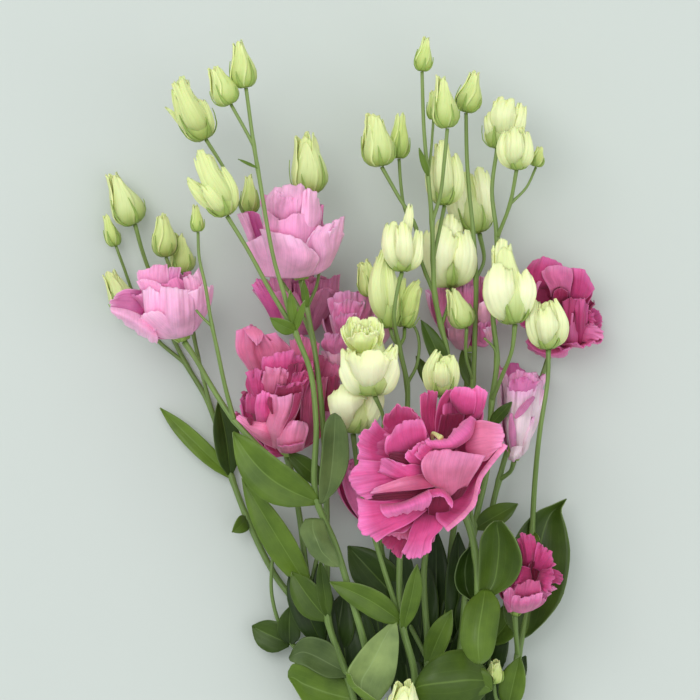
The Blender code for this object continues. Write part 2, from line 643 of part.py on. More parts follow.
def keep_body(work):
    """Drops scraps and the skins of sealed hollows, which are every group but the widest one."""
    groups = islands(work)
    if len(groups) < 2:
        return
    body = max(groups, key=spread)
    for group in groups:
        if group is not body:
            bmesh.ops.delete(work, geom=list(group), context="FACES")


def fuse(name, meshes, colour):
    """One closed body from overlapping pieces; loose scraps and sealed hollows are dropped."""
    base = bpy.data.objects.new(name, meshes[0])
    PARTS.objects.link(base)
    if len(meshes) > 1:
        group = bpy.data.collections.new(name + "_pieces")
        bpy.context.scene.collection.children.link(group)
        for index, mesh in enumerate(meshes[1:]):
            group.objects.link(bpy.data.objects.new(f"{name}_piece_{index:02d}", mesh))
        join = base.modifiers.new("join", "BOOLEAN")
        join.operation = "UNION"
        join.operand_type = "COLLECTION"
        join.collection = group
        join.solver = "MANIFOLD"
        bpy.context.view_layer.update()
        ready = bpy.context.evaluated_depsgraph_get()
        fused = bpy.data.meshes.new_from_object(base.evaluated_get(ready))
        base.modifiers.clear()
        base.data = fused
        for piece in list(group.objects):
            bpy.data.objects.remove(piece, do_unlink=True)
        bpy.data.collections.remove(group)
    work = bmesh.new()
    work.from_mesh(base.data)
    keep_body(work)
    bmesh.ops.triangulate(work, faces=work.faces)
    work.to_mesh(base.data)
    work.free()
    base.data.materials.clear()
    base.data.materials.append(colour)
    base.name = name
    base.data.name = name
    return base


def spread(group):
    low = [min(v.co[i] for f in group for v in f.verts) for i in range(3)]
    high = [max(v.co[i] for f in group for v in f.verts) for i in range(3)]
    return math.dist(low, high)


def paint(name, red, green, blue, roughness):
    colour = bpy.data.materials.new(name)
    colour.diffuse_color = (red, green, blue, 1.0)
    colour.use_nodes = True
    shader = colour.node_tree.nodes["Principled BSDF"]
    shader.inputs["Base Color"].default_value = (red, green, blue, 1.0)
    shader.inputs["Roughness"].default_value = roughness
    return colour


GREEN = paint("stem_green", 0.16, 0.30, 0.09, 0.5)
BUD = paint("bud_green", 0.62, 0.74, 0.33, 0.45)
LIGHT = paint("petal_light", 0.80, 0.42, 0.63, 0.6)
DEEP = paint("petal_deep", 0.70, 0.16, 0.42, 0.6)
DARK = paint("petal_dark", 0.48, 0.06, 0.22, 0.6)
BAND = paint("tie_band", 0.62, 0.53, 0.38, 0.8)

BLOOM_COLOURS = {
    "bloom_01": LIGHT,
    "bloom_02": LIGHT,
    "bloom_03": DEEP,
    "bloom_04": DEEP,
    "bloom_05": DEEP,
    "bloom_06": DEEP,
    "bloom_07": DARK,
    "bloom_08": DEEP,
    "bloom_09": LIGHT,
    "bloom_10": DARK,
    "bloom_11": DARK,
}


def along_tie(place, y):
    return (place[0], y, place[1], 2.1)


def twig(name, points, sides):
    """Stem through places judged from above; its end is noted as a seat."""
    path = [tuple(at(*p[:3])) + (p[3],) for p in points]
    last = Vector(path[-1][:3])
    STEM_ENDS.append((last, (last - Vector(path[-2][:3])).normalized(), path[-1][3]))
    return tube(name, path, sides)


def seat(base, axis):
    """Start of a bud or bloom, just clear of the stem end that carries it."""
    here = at(*base)
    end, along, radius = min(STEM_ENDS, key=lambda one: (one[0] - here).length)
    tilt = math.sin(axis.angle(along))
    return end + axis * (SEAT_GAP + 0.7 * radius * tilt)


def make_stem(letter, data):
    name = "stem_" + letter
    place = TIE_PLACES[letter]
    cut = CUT_ENDS[letter]
    first = data["trunk"][0]
    fan = (place[0] + 0.14 * (first[0] - place[0]), 30, place[1] + 0.14 * (first[2] - place[1]), 2.1)
    lower = [cut + (2.4,), along_tie(place, -30), along_tie(place, -10), along_tie(place, 10), fan]
    trunk = lower + list(data["trunk"])
    pieces = [twig(name, trunk, TRUNK_SIDES)]
    for points in data["branches"]:
        pieces.append(twig(name, points, TWIG_SIDES))
    for one in data["leaves"]:
        pieces.append(leaf(name, *one))
    return fuse(name, pieces, GREEN)


CLOSED_PROFILE = [(0.0, 0.0), (0.62, 0.07), (1.0, 0.30), (0.82, 0.60), (0.34, 0.86), (0.0, 1.0)]
OPEN_PROFILE = [(0.0, 0.0), (0.50, 0.04), (0.94, 0.20), (1.0, 0.42), (0.80, 0.70), (0.50, 0.96), (0.0, 0.92)]
VASE_PROFILE = [
    (0.0, 0.0), (0.52, 0.03), (0.92, 0.18), (0.98, 0.38), (1.0, 0.58), (0.62, 0.66), (0.58, 0.80),
    (0.68, 0.96), (0.0, 0.86),
]


def make_bud(name, base, tip, radius, kind):
    end = at(*tip)
    start = seat(base, (end - at(*base)).normalized())
    frame = frame_of(end - start)
    length = (end - start).length
    if kind == 2:
        profile = [(r * radius, h * length) for r, h in VASE_PROFILE]
        body = lathe(name, start, frame, profile, 8, 4, 0.08, 0.0)
    elif kind == 1:
        profile = [(r * radius, h * length) for r, h in OPEN_PROFILE]
        body = lathe(name, start, frame, profile, 6, 3, 0.12, 0.035)
    else:
        profile = [(r * radius, h * length) for r, h in CLOSED_PROFILE]
        body = lathe(name, start, frame, profile, 6, 3, 0.10, 0.03)
    pieces = [body]
    if radius >= 8.5:
        for index in range(3):
            angle = math.radians(35 + 120 * index)
            out = frame[1] * math.cos(angle) + frame[2] * math.sin(angle)
            side = frame[0].cross(out)
            grid = []
            for u, width, reach in ((0.02, 1.4, 0.45), (0.2, 1.5, 1.0), (0.5, 0.25, 1.22)):
                middle = start + frame[0] * (u * length) + out * (radius * reach)
                grid.append([middle - side * width, middle + side * width])
            pieces.append(sheet(name, grid, 0.8))
    return fuse(name, pieces, BUD)


def make_bloom(name, data):
    frame = frame_of(data["axis"])
    base = seat(data["base"], frame[0])
    core = data["core"]
    profile = [(0.0, 0.0), (0.7 * core, 0.8), (core, 4.0), (0.75 * core, 11.0), (0.0, 13.0)]
    pieces = [lathe(name, base, frame, profile, 6)]
    for row, (count, first, length, half_width, low, high) in enumerate(data["rows"]):
        start = (max(0.80 - 0.20 * row, 0.35) * core, 2.6 + 2.0 * row)
        for index in range(count):
            azimuth = first + 360 * index / count
            vary = 1 + 0.05 * math.sin(2.3 * index + row)
            pieces.append(petal(name, base, frame, azimuth, count, length * vary, half_width, low, high,
                                data.get("bend", 0.5), start, data.get("lean", 2.0), data.get("steps", 3)))
    return fuse(name, pieces, BLOOM_COLOURS[name])


def make_tie():
    """Flat-bottomed band round the bundle."""
    corner = 3.4
    outline = []
    for cx, cz, begin in (
        (TIE_HALF_WIDTH - corner, TIE_TOP - corner, 0),
        (-TIE_HALF_WIDTH + corner, TIE_TOP - corner, 90),
        (-TIE_HALF_WIDTH + corner, corner, 180),
        (TIE_HALF_WIDTH - corner, corner, 270),
    ):
        for part in range(5):
            angle = math.radians(begin + 90 * part / 4)
            outline.append((cx, cz, math.cos(angle), math.sin(angle)))
    points = []
    for y in (-0.5 * TIE_LENGTH, 0.5 * TIE_LENGTH):
        for reach in (corner, corner - TIE_THICK):
            for cx, cz, dx, dz in outline:
                points.append(Vector((cx + dx * reach, y, cz + dz * reach)))
    count = len(outline)
    faces = []
    for a in range(count):
        b = (a + 1) % count
        faces.append((a, b, 2 * count + b, 2 * count + a))
        faces.append((count + a, 3 * count + a, 3 * count + b, count + b))
        faces.append((a, count + a, count + b, b))
        faces.append((2 * count + a, 2 * count + b, 3 * count + b, 3 * count + a))
    return fuse("tie", [new_mesh("tie", points, faces)], BAND)


for key, value in STEMS.items():
    make_stem(key, value)
for entry in BUDS:
    make_bud(*entry)
for key, value in BLOOMS.items():
    make_bloom(key, value)
make_tie()
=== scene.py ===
"""Looks of the lisianthus bunch: smooth stems, veined leaves, folded buds and ruffled blooms.

Metres in the frame, millimetres in the lists below. The bunch lies on its back at z = 0 with its heads
towards +Y, and the camera looks straight down on it. Places are judged from above, so at() draws
a high point in towards the middle of the view.
"""

import math

import bpy
import numpy as np
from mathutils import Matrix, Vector


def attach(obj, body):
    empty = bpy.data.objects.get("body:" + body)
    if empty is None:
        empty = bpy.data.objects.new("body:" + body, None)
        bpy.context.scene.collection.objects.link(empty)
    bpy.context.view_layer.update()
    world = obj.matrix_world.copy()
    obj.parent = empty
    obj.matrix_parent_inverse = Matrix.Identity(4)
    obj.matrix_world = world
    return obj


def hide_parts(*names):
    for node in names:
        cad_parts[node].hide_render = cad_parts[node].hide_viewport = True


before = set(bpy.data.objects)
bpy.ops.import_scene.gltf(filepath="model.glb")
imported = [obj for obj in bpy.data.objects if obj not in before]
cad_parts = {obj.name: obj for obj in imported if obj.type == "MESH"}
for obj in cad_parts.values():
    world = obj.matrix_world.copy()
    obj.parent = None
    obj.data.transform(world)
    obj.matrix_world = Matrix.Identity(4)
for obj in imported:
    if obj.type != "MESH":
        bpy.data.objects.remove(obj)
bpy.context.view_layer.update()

MM = 0.001

# Camera.
EYE_HEIGHT = 2500.0
EYE_X = -30.0
EYE_Y = 275.0
VIEW_WIDTH = 350.0
SENSOR_WIDTH = 36.0
CLIP_END = 20.0

# Sky and floor.
SKY_COLOUR = (0.95, 0.98, 1.0, 1.0)
SKY_STRENGTH = 0.66
FLOOR_COLOUR = (0.602, 0.653, 0.614)
FLOOR_DROP = -0.0002
FLOOR_REACH = 4.0

# Lamps, in metres: name, place, the point that it shines at, size and power.
LAMPS = [
    ("key", (-0.75, 0.95, 2.2), (-0.03, 0.25, 0.0), 1.5, 18.4),
    ("fill", (1.2, -0.2, 1.8), (-0.03, 0.25, 0.0), 1.8, 7.5),
    ("top", (-0.03, 0.275, 2.9), (-0.03, 0.275, 0.0), 2.0, 10.3),
]

# Sheet of half-millimetre squares laid over the bunch, and the square that lies over the tie.
SQUARE = 0.5
TIE_COLUMN = 410
TIE_ROW = 900

# Stems: slimmer by a share above the tie, and a little thicker at each joint.
STEM_SIDES = 12
TWIG_SIDES = 10
STEM_STEP = 2.5
TRUNK_RADIUS = 2.1
CUT_RADIUS = 2.4
INSIDE_TIE = (-30, -10, 10)
FAN_START = 30
FAN_SHARE = 0.14
SLIMMER = 0.17
SLIM_FROM = 50
SLIM_TO = 140
JOINT_SWELL = 0.22
JOINT_REACH = 3.0
MARKS_PER_MM = 0.01

# Clearance of a bud or bloom from its stem, and of the middle of every sheet from the floor.
SEAT_GAP = 0.3
SEAT_TILT = 0.7
LOWEST = 0.5

# Leaves: the widths are shares of the half width, at stations that are shares of the length.
LEAF_THICK = 0.5
LEAF_ROWS = 25
LEAF_COLUMNS = 15
LEAF_NET_COLUMNS = 17
SMALL_LEAF = 3
SMALL_LEAF_ROWS = 13
SMALL_LEAF_COLUMNS = 7
LEAF_STATIONS = [0.0, 0.08, 0.17, 0.30, 0.42, 0.56, 0.69, 0.80, 0.89, 0.96, 1.0]
LEAF_WIDTHS = [0.20, 0.46, 0.74, 0.94, 1.0, 0.97, 0.86, 0.66, 0.42, 0.17, 0.02]

# Petals and hearts of blooms.
PETAL_THICK = 0.4
LINE_PARTS = 60
RING_ROWS = 24
RING_COLUMNS = 27
STRIP_STEP = 1.0
STRIP_ROWS = 28
STRIP_COLUMNS = 33
NET_ROWS = 30
NET_COLUMNS = 37
NET_FOOT = 0.35
CUP_SIDES = 18
PISTIL_SIDES = 10
PISTIL_STEP = 1.5
PISTIL_RADII = (0.9, 0.8, 1.5)

# Buds.
BUD_PETAL_THICK = 0.5
BUD_ROWS = 26
BUD_COLUMNS = 15
FOOT_SIDES = 16

# Sepals of buds and blooms.
SEPAL_THICK = 0.4
SEPAL_ROWS = 13
SEPAL_COLUMNS = 5
SEPALS = 5

# Tie: a rounded band with ribs.
TIE_HALF_WIDTH = 10.9
TIE_TOP = 16.6
TIE_THICK = 1.2
TIE_LENGTH = 9.0
TIE_CORNER = 3.4
TIE_RIBS = 5
RIB_RISE = 0.16
RIB_PARTS = 6
CORNER_PARTS = 8

# Kinds of bud: tightly closed, partly open, and open with a frilled crown.
CLOSED = 0
FOLDED = 1
CROWNED = 2

# Material numbers within a stalk or the tie, a leaf, a bud and a bloom.
ONLY = 0
LEAF_TOP = 0
LEAF_UNDER = 1
SKIN = 0
GREEN = 1
FRILL = 2
INNER = 0
OUTER = 1
CALYX = 2
PISTIL = 3

# Filled by twig: point, direction and radius of each end that carries a bud or bloom.
STEM_ENDS = []


def strip(*points, **look):
    """Petal drawn as its middle line, foot to rim: (column, row, height in mm, half width in squares)."""
    return {"at": points, **look}


def net(across, *points, **look):
    """Petal or leaf drawn in lines of points across it, from foot to rim: (column, row, height in mm)."""
    return {"net": [points[start:start + across] for start in range(0, len(points), across)], **look}


def chosen(petal, words):
    """The values that a petal gives for some words."""
    return {word: petal[word] for word in words if word in petal}


# Places of the eleven stems inside the tie, (x, z).
TIE_PLACES = {
    "a": (-7.2, 12.6),
    "b": (-7.2, 3.9),
    "c": (-4.8, 8.25),
    "d": (-2.4, 3.9),
    "e": (-2.4, 12.6),
    "f": (0, 8.25),
    "g": (2.4, 3.9),
    "h": (4.8, 8.25),
    "i": (7.2, 12.6),
    "j": (7.2, 3.9),
    "k": (2.4, 12.6),
}

# Cut ends, (x, y, z): the bundle loosens a little below the tie.
CUT_ENDS = {
    "a": (-13, -104, 16.5),
    "b": (-17, -109, 3),
    "c": (-9, -112, 9.5),
    "d": (-6.5, -106, 3),
    "e": (-4, -101, 18),
    "f": (0.5, -110, 10.5),
    "g": (5, -113, 3),
    "h": (9, -105, 10),
    "i": (14.5, -102, 17),
    "j": (17, -108, 3),
    "k": (5, -108, 18),
}

# Each stem: trunk above the tie, side branches, leaves.
# Trunk and branch points are (x, y, z, radius).
# A leaf is (base, tip, half width, roll, arch) and, where it has them, its sideways bow and its tone from 0,
# dark, to 1: roll in degrees tilts the blade about its length.
STEMS = {
    "a": dict(
        trunk=[(-15, 60, 32, 2.1), (-22, 125, 48, 2.1), (-29, 150, 54, 2), (-37.5, 178, 59, 2),
               (-46.5, 199.5, 64, 2), (-47, 240, 73, 1.7), (-50, 265, 80, 1.6), (-57.5, 284.5, 86, 1.6),
               (-63, 303, 90, 1.3), (-67.5, 318, 92, 1.2), (-71, 335, 94, 1.2), (-74.5, 356, 94, 1.2),
               (-78, 377, 94, 1.1), (-82, 406, 93, 1.1)],
        branches=[
            [(-78, 377, 94, 1), (-84, 388, 94, 1), (-89.5, 397.7, 93, 1)],
            [(-57.5, 284.5, 86, 1.5), (-70, 305, 88, 1.3), (-82.5, 327.5, 88, 1.2),
             (-91.5, 342, 87, 1.3)],
            [(-46.5, 199.5, 64, 1.9), (-63, 215, 62, 1.8), (-80, 231, 59, 1.8), (-88, 240, 58, 1.7),
             (-100, 258, 52, 1.6), (-108, 272, 46, 1.6), (-112.8, 279, 43.2, 1.9)],
            [(-88, 240, 58, 1.5), (-92.5, 257, 66, 1.3), (-97, 278, 72, 1.2), (-99, 287, 73, 1.1),
             (-102.5, 308, 74, 1), (-105.5, 322, 73, 0.9), (-106, 334, 72, 0.9)],
            [(-99, 287, 73, 0.9), (-103, 290.5, 74.5, 0.8), (-107, 295, 75.5, 0.8)],
        ],
        leaves=[
            ((-46.5, 199, 65), (-88.5, 234, 66), 10.5, 10, 4, -5, 0.7),
            ((-57.5, 284.5, 87), (-60, 305, 93), 2.4, 0, 1),
            ((-57.5, 284.5, 87), (-70, 291, 93), 3.6, 15, 2),
            ((-76.2, 366, 95), (-86, 370.5, 96), 0.8, 0, 0.5),
            ((-57.5, 284.5, 87), (-52.5, 300, 93), 1.8, 0, 1),
        ],
    ),
    "b": dict(
        trunk=[(-20, 60, 6, 2.1), (-40, 115, 7, 2), (-49, 131.5, 7, 2), (-55, 145, 7, 2),
               (-67.5, 162.5, 7, 1.9), (-80, 187.5, 7, 1.9), (-89.5, 212.5, 6, 1.8), (-95, 232, 5, 1.7),
               (-101.5, 250, 2.6, 1.6), (-112, 268, 1.5, 1.4), (-119, 282, 2.4, 1.3), (-128, 308, 6, 1.2),
               (-134, 325, 11, 1.2), (-137.5, 337.8, 14, 1.3)],
        branches=[
            [(-112, 268, 1.5, 1.2), (-128, 282, 2.4, 1.1), (-138, 302, 5, 1), (-143, 316, 8, 0.9),
             (-147, 326.9, 11, 0.9)],
            [(-128, 282, 2.4, 1), (-135, 288, 10, 0.9), (-140, 293, 15.5, 1)],
            [(-95, 232, 5, 1.4), (-101, 252, 9, 1.2), (-106, 272, 11, 1.1), (-110, 295, 11, 1.1),
             (-113, 313.5, 12, 1.3)],
            [(-106, 272, 11, 1.1), (-110, 288, 14, 1), (-116, 305, 19, 1), (-122, 321.4, 23.6, 1.1)],
            [(-40, 115, 7, 1.6), (-58, 127, 9, 1.4), (-66, 140, 13, 1.2), (-69, 152, 15, 1.1),
             (-68.5, 176, 17, 1)],
        ],
        leaves=[
            ((-89, 211, 6), (-125, 246, 5), 4.6, 0, 4),
            ((-90, 213, 7), (-96, 250, 22), 7, -20, 3, 0, 0.12),
            ((-82, 191, 8), (-89, 184, 15), 4.2, 20, 2),
            ((-60, 128, 10), (-79, 137, 9), 8, 5, 2, 0, 0.22),
            ((-60, 128, 10), (-60, 147, 20), 6, 10, 2, 0, 0.15),
        ],
    ),
    "c": dict(
        trunk=[(-17, 60, 20, 2.1), (-32.5, 115, 30, 2), (-41, 140, 34, 2), (-41.5, 170, 39, 1.9),
               (-42, 210, 48, 1.8), (-43, 230, 58, 1.7), (-44.5, 250, 64, 1.6), (-48.5, 280, 63, 1.5),
               (-51.5, 296, 61, 1.5), (-54.2, 309.6, 58, 2)],
        branches=[
            [(-48.5, 280, 63, 1.2), (-56, 297, 52, 1.1), (-68, 315, 44, 1), (-78, 332, 38, 1),
             (-83.5, 343.5, 42, 1), (-92, 364, 50, 1), (-102, 380.2, 55, 1.2)],
            [(-51.5, 296, 61, 1.1), (-46, 310, 46, 1), (-46, 332, 36, 1), (-49, 353, 38, 1.2)],
            [(-78, 332, 38, 0.9), (-79.5, 338, 35, 0.9), (-79.5, 343, 33, 1)],
        ],
        leaves=[
            ((-42.5, 208, 47), (-61, 224, 52), 5, 0, 2),
            ((-41, 140, 34), (-59, 164, 36), 8, 15, 3),
            ((-41, 141, 35), (-45, 170, 47), 3.6, 0, 1),
            ((-51.5, 296, 62), (-53.5, 310, 66), 2, 0, 0.5),
        ],
    ),
    "d": dict(
        trunk=[(-13, 60, 9, 2.1), (-38, 122, 15, 2), (-50, 155, 18, 1.9), (-55, 190, 20, 1.8),
               (-58, 208, 22, 1.7), (-61.5, 222, 24.4, 2.1)],
        branches=[
            [(-50, 155, 18, 1.4), (-43, 190, 12, 1.2), (-41, 215, 7, 1.1), (-42, 242, 3.2, 1.1),
             (-46, 266, 3.4, 1.1), (-55.5, 282.2, 18.7, 1.6)],
            [(-43, 190, 12, 1.2), (-40, 214, 13, 1.1), (-34, 232, 14, 1.1), (-28, 252, 18, 1.1),
             (-24.8, 268.2, 25.4, 1.5)],
        ],
        leaves=[
            ((-50, 155, 19), (-84, 211, 27), 8, 20, 6, 2, 0.85),
            ((-38, 122, 15), (-33, 154, 19), 8, 0, 2, 0, 0.05),
        ],
    ),
    "e": dict(
        trunk=[(-2, 60, 32, 2.1), (2, 115, 46, 2.1), (-4, 138, 50, 2), (-5, 180, 52, 1.8),
               (-4, 220, 54, 1.7), (-1.5, 258, 58, 1.5), (-5.5, 277, 60, 1.4), (-8, 292, 70, 1.2),
               (-6.5, 304, 72, 1.1), (-4, 313.9, 69, 1.3)],
        branches=[
            [(-4, 138, 50, 1.7), (-12, 162, 55, 1.5), (-19, 185, 58, 1.4), (-25, 208, 59, 1.3),
             (-28.5, 233.2, 58, 1.6)],
            [(-25, 208, 59, 1.2), (-16, 226, 63, 1.1), (-13.5, 242, 72, 1.1), (-17.5, 251.8, 78, 1.5)],
            [(-5.5, 277, 60, 1.1), (-8.5, 281, 59, 1.1), (-9.8, 285.6, 58, 1.2)],
            [(-5.5, 277, 60, 1.1), (-3, 281, 55, 1.1), (-2.8, 285.8, 51, 1.1)],
            [(-2, 60, 32, 1.7), (-8, 72, 48, 1.5), (-4.3, 85.6, 62, 1.7)],
            [(-1.5, 258, 58, 1.1), (3.5, 268, 50, 1), (3.5, 284, 46, 0.9), (-7, 296, 46, 0.9),
             (-18.2, 301.8, 46.5, 1)],
        ],
        leaves=[
            ((-4.5, 139, 51), (-40, 159, 58), 6.8, 15, 4, 3, 0.6),
            ((-3.5, 136, 51), (3.5, 168, 62), 4.8, -20, 2, 0, 0.75),
        ],
    ),
    "f": dict(
        trunk=[(3, 60, 19, 2.1), (9, 120, 27, 2), (7, 165, 33, 1.9), (15, 215, 37, 1.8),
               (18.5, 250, 41, 1.7), (18.5, 275, 45, 1.6), (15.5, 287, 48, 1.6), (12.5, 302, 54, 1.5),
               (11.5, 320, 58, 1.4), (11, 339, 61, 1.4), (9, 362, 64, 1.2), (7, 385, 66, 1.1),
               (6, 414.2, 66, 1)],
        branches=[
            [(9, 362, 64, 0.9), (10.5, 374, 60, 0.8), (11.7, 390, 57, 0.8)],
            [(11, 339, 61, 1.2), (15, 352, 65, 1.1), (17, 368, 69, 1.1), (18.7, 385.8, 70, 1.1)],
            [(15.5, 287, 48, 1.2), (19, 297, 42, 1.1), (21, 306, 38, 1.5)],
            [(12.5, 302, 54, 1.2), (5, 322, 50, 1.1), (3, 336, 51, 1.1), (-6.5, 353, 52, 1.1),
             (-14.2, 366.6, 52, 1.2)],
            [(3, 336, 51, 1), (-2.5, 345, 44, 1), (-4.5, 357, 43, 1), (-5.5, 370.6, 44, 1)],
            [(11.5, 320, 58, 1.1), (14.5, 334, 54, 1.1), (17.2, 347, 48, 1.2)],
            [(9, 120, 27, 1.5), (-6, 150, 18, 1.4), (-13, 170, 14, 1.3), (-15.2, 183.6, 16.4, 1.6)],
        ],
        leaves=[
            ((18, 262, 43), (5.5, 290, 47), 4.6, -15, 3),
            ((18.5, 250, 42), (3, 272, 38), 4, 20, 2),
            ((9, 362, 65), (4.5, 376, 69), 1.6, 0, 0.5),
            ((9, 118, 28), (21, 145, 37), 6, 15, 2),
            ((-6, 150, 18), (-31, 177, 26), 10.5, 0, 3, 0, 0.1),
        ],
    ),
    "g": dict(
        trunk=[(8, 60, 8, 2.1), (17.5, 125, 12, 2), (20, 170, 15, 1.9), (26, 215, 19, 1.8),
               (31.5, 260, 28, 1.6), (32.5, 285, 35, 1.5), (33, 310.5, 43, 1.4), (32, 330, 48, 1.3),
               (30, 350, 49, 1.2), (28.5, 370, 50, 1.2), (28, 393.6, 49, 1.1)],
        branches=[
            [(33, 310.5, 43, 1.1), (37, 320, 34, 1.1), (34.8, 333, 26.5, 1.5)],
            [(31.5, 260, 28, 1.1), (28, 272, 38, 1), (28.3, 286, 46, 1.1)],
            [(26, 215, 19, 1.3), (27, 245, 13, 1.2), (29.6, 273.6, 14.4, 1.6)],
        ],
        leaves=[
            ((31, 256, 27), (26, 275, 22), 3.5, 10, 1),
            ((17.5, 125, 13), (23, 154, 22), 5.5, -15, 2),
        ],
    ),
    "h": dict(
        trunk=[(13, 60, 19, 2.1), (25, 125, 26, 2), (29, 165, 30, 1.9), (33.5, 192.5, 32, 1.9),
               (38.5, 215, 34, 1.8), (41, 250, 38, 1.7), (43.5, 270, 41, 1.6), (41.5, 292.5, 45, 1.5),
               (43, 312, 47, 1.4), (43.5, 331, 50, 1.4), (41, 355, 49, 1.2), (43.5, 375.6, 46, 1.2)],
        branches=[
            [(43.5, 331, 50, 1.2), (50, 348, 58, 1.1), (53.3, 365, 64, 1.2)],
            [(50, 348, 58, 0.9), (58, 356, 57, 0.8), (63, 366.4, 55, 0.8)],
            [(41, 250, 38, 1.4), (46, 262, 50, 1.3), (51, 275, 58, 1.2), (52.5, 287.8, 61, 1.6)],
            [(43.5, 270, 41, 0.9), (42, 276, 44, 0.8), (37, 281, 46.5, 0.7)],
        ],
        leaves=[
            ((40, 237, 37), (51, 249, 42), 3, 10, 1),
            ((33, 186, 32), (54, 198, 38), 5.5, 10, 2, 0, 0.5),
        ],
    ),
    "i": dict(
        trunk=[(28, 55, 26, 2.1), (49, 95, 33, 2.1), (54, 122, 34, 2), (59, 150, 25, 1.9),
               (61, 183.5, 26, 1.7), (62.5, 210, 36, 1.6), (65, 235, 51, 1.5), (69, 262, 53, 1.3),
               (69.2, 275.3, 54, 1.6)],
        branches=[
            [(54, 122, 34, 1.6), (53, 133, 40, 1.5), (52.3, 142.6, 45, 1.9)],
            [(49, 95, 33, 1.3), (43, 101, 40, 1.1), (42, 108.4, 44, 1)],
        ],
        leaves=[
            ((49, 96, 33), (55, 122, 45), 6.5, 10, 2),
            ((61, 183.5, 26), (65, 179, 31), 1.6, 0, 0.5),
        ],
    ),
    "j": dict(
        trunk=[(20, 60, 7, 2.1), (41, 125, 8, 2), (40.5, 170, 8, 1.9), (41, 195, 8, 1.8),
               (44.5, 210, 8, 1.7), (50, 228, 7, 1.6), (59, 244, 7, 1.5), (66, 262, 7, 1.4),
               (72.2, 279.8, 6, 2)],
        branches=[
            [(44.5, 210, 8, 1.3), (50, 214, 12, 1.3), (51.9, 219, 18.4, 1.6)],
        ],
        leaves=[
            ((41, 128, 9), (60, 152, 16), 7.5, 15, 3),
        ],
    ),
    "k": dict(
        trunk=[(12, 60, 34, 2.2), (28, 115, 52, 2.2), (34, 132, 57, 2.2), (34, 152, 61, 2.2),
               (33, 172, 64, 2.2), (27.5, 192, 68, 2.2), (17.4, 208.8, 71.2, 2.6)],
        branches=[
            [(33, 172, 64, 1.3), (27, 215, 62, 1.2), (20, 238, 66, 1.1), (15.2, 252.2, 72, 1.2)],
        ],
        leaves=[
            ((28, 113, 52), (41, 105, 52), 7, 0, 2),
        ],
    ),
}

# Leaves low in the bunch that fill its foot: stem letter and leaves. They take the darkest leaf tone, as
# painted shade in the deep gaps of the foot.
LOW_LEAVES = {
    "c": [
        ((-44, 128, 20), (-60, 165, 22), 7.5, 10, 3),
        ((-40, 112, 16), (-46, 168, 18), 7, 0, 2),
        ((-30, 100, 14), (-36, 150, 16), 9.5, -5, 3),
    ],
    "d": [
        ((-20, 108, 10), (-33, 158, 14), 10, 10, 3),
        ((-12, 112, 12), (-20, 160, 14), 9, -5, 3),
        ((-26, 92, 12), (-50, 128, 14), 9, 0, 3),
        ((-18, 84, 16), (-44, 100, 18), 11, 0, 3),
    ],
    "f": [
        ((0, 112, 14), (-8, 160, 16), 9, 5, 3),
        ((4, 118, 16), (8, 170, 20), 8, -5, 3),
        ((2, 90, 12), (-4, 130, 14), 9, 0, 3),
        ((0, 130, 16), (-7, 186, 22), 7, 0, 3),
    ],
    "g": [
        ((14, 100, 8), (16, 150, 12), 9.5, 5, 3),
        ((20, 118, 12), (26, 168, 16), 8, 0, 3),
        ((12, 84, 10), (8, 118, 14), 9, 0, 3),
        ((14, 122, 12), (13, 186, 18), 7.5, 5, 3),
    ],
    "h": [
        ((24, 104, 16), (34, 146, 20), 9, 0, 3),
        ((20, 88, 14), (26, 124, 18), 9, 5, 3),
        ((28, 128, 20), (37, 168, 24), 8.5, 10, 3),
        ((24, 126, 18), (24, 184, 24), 7, -5, 3),
    ],
    "j": [
        ((36, 108, 6), (46, 142, 10), 8, 0, 2),
        ((36, 84, 8), (38, 118, 12), 8.5, 0, 2),
        ((44, 100, 10), (58, 122, 12), 6, 0, 2),
    ],
}

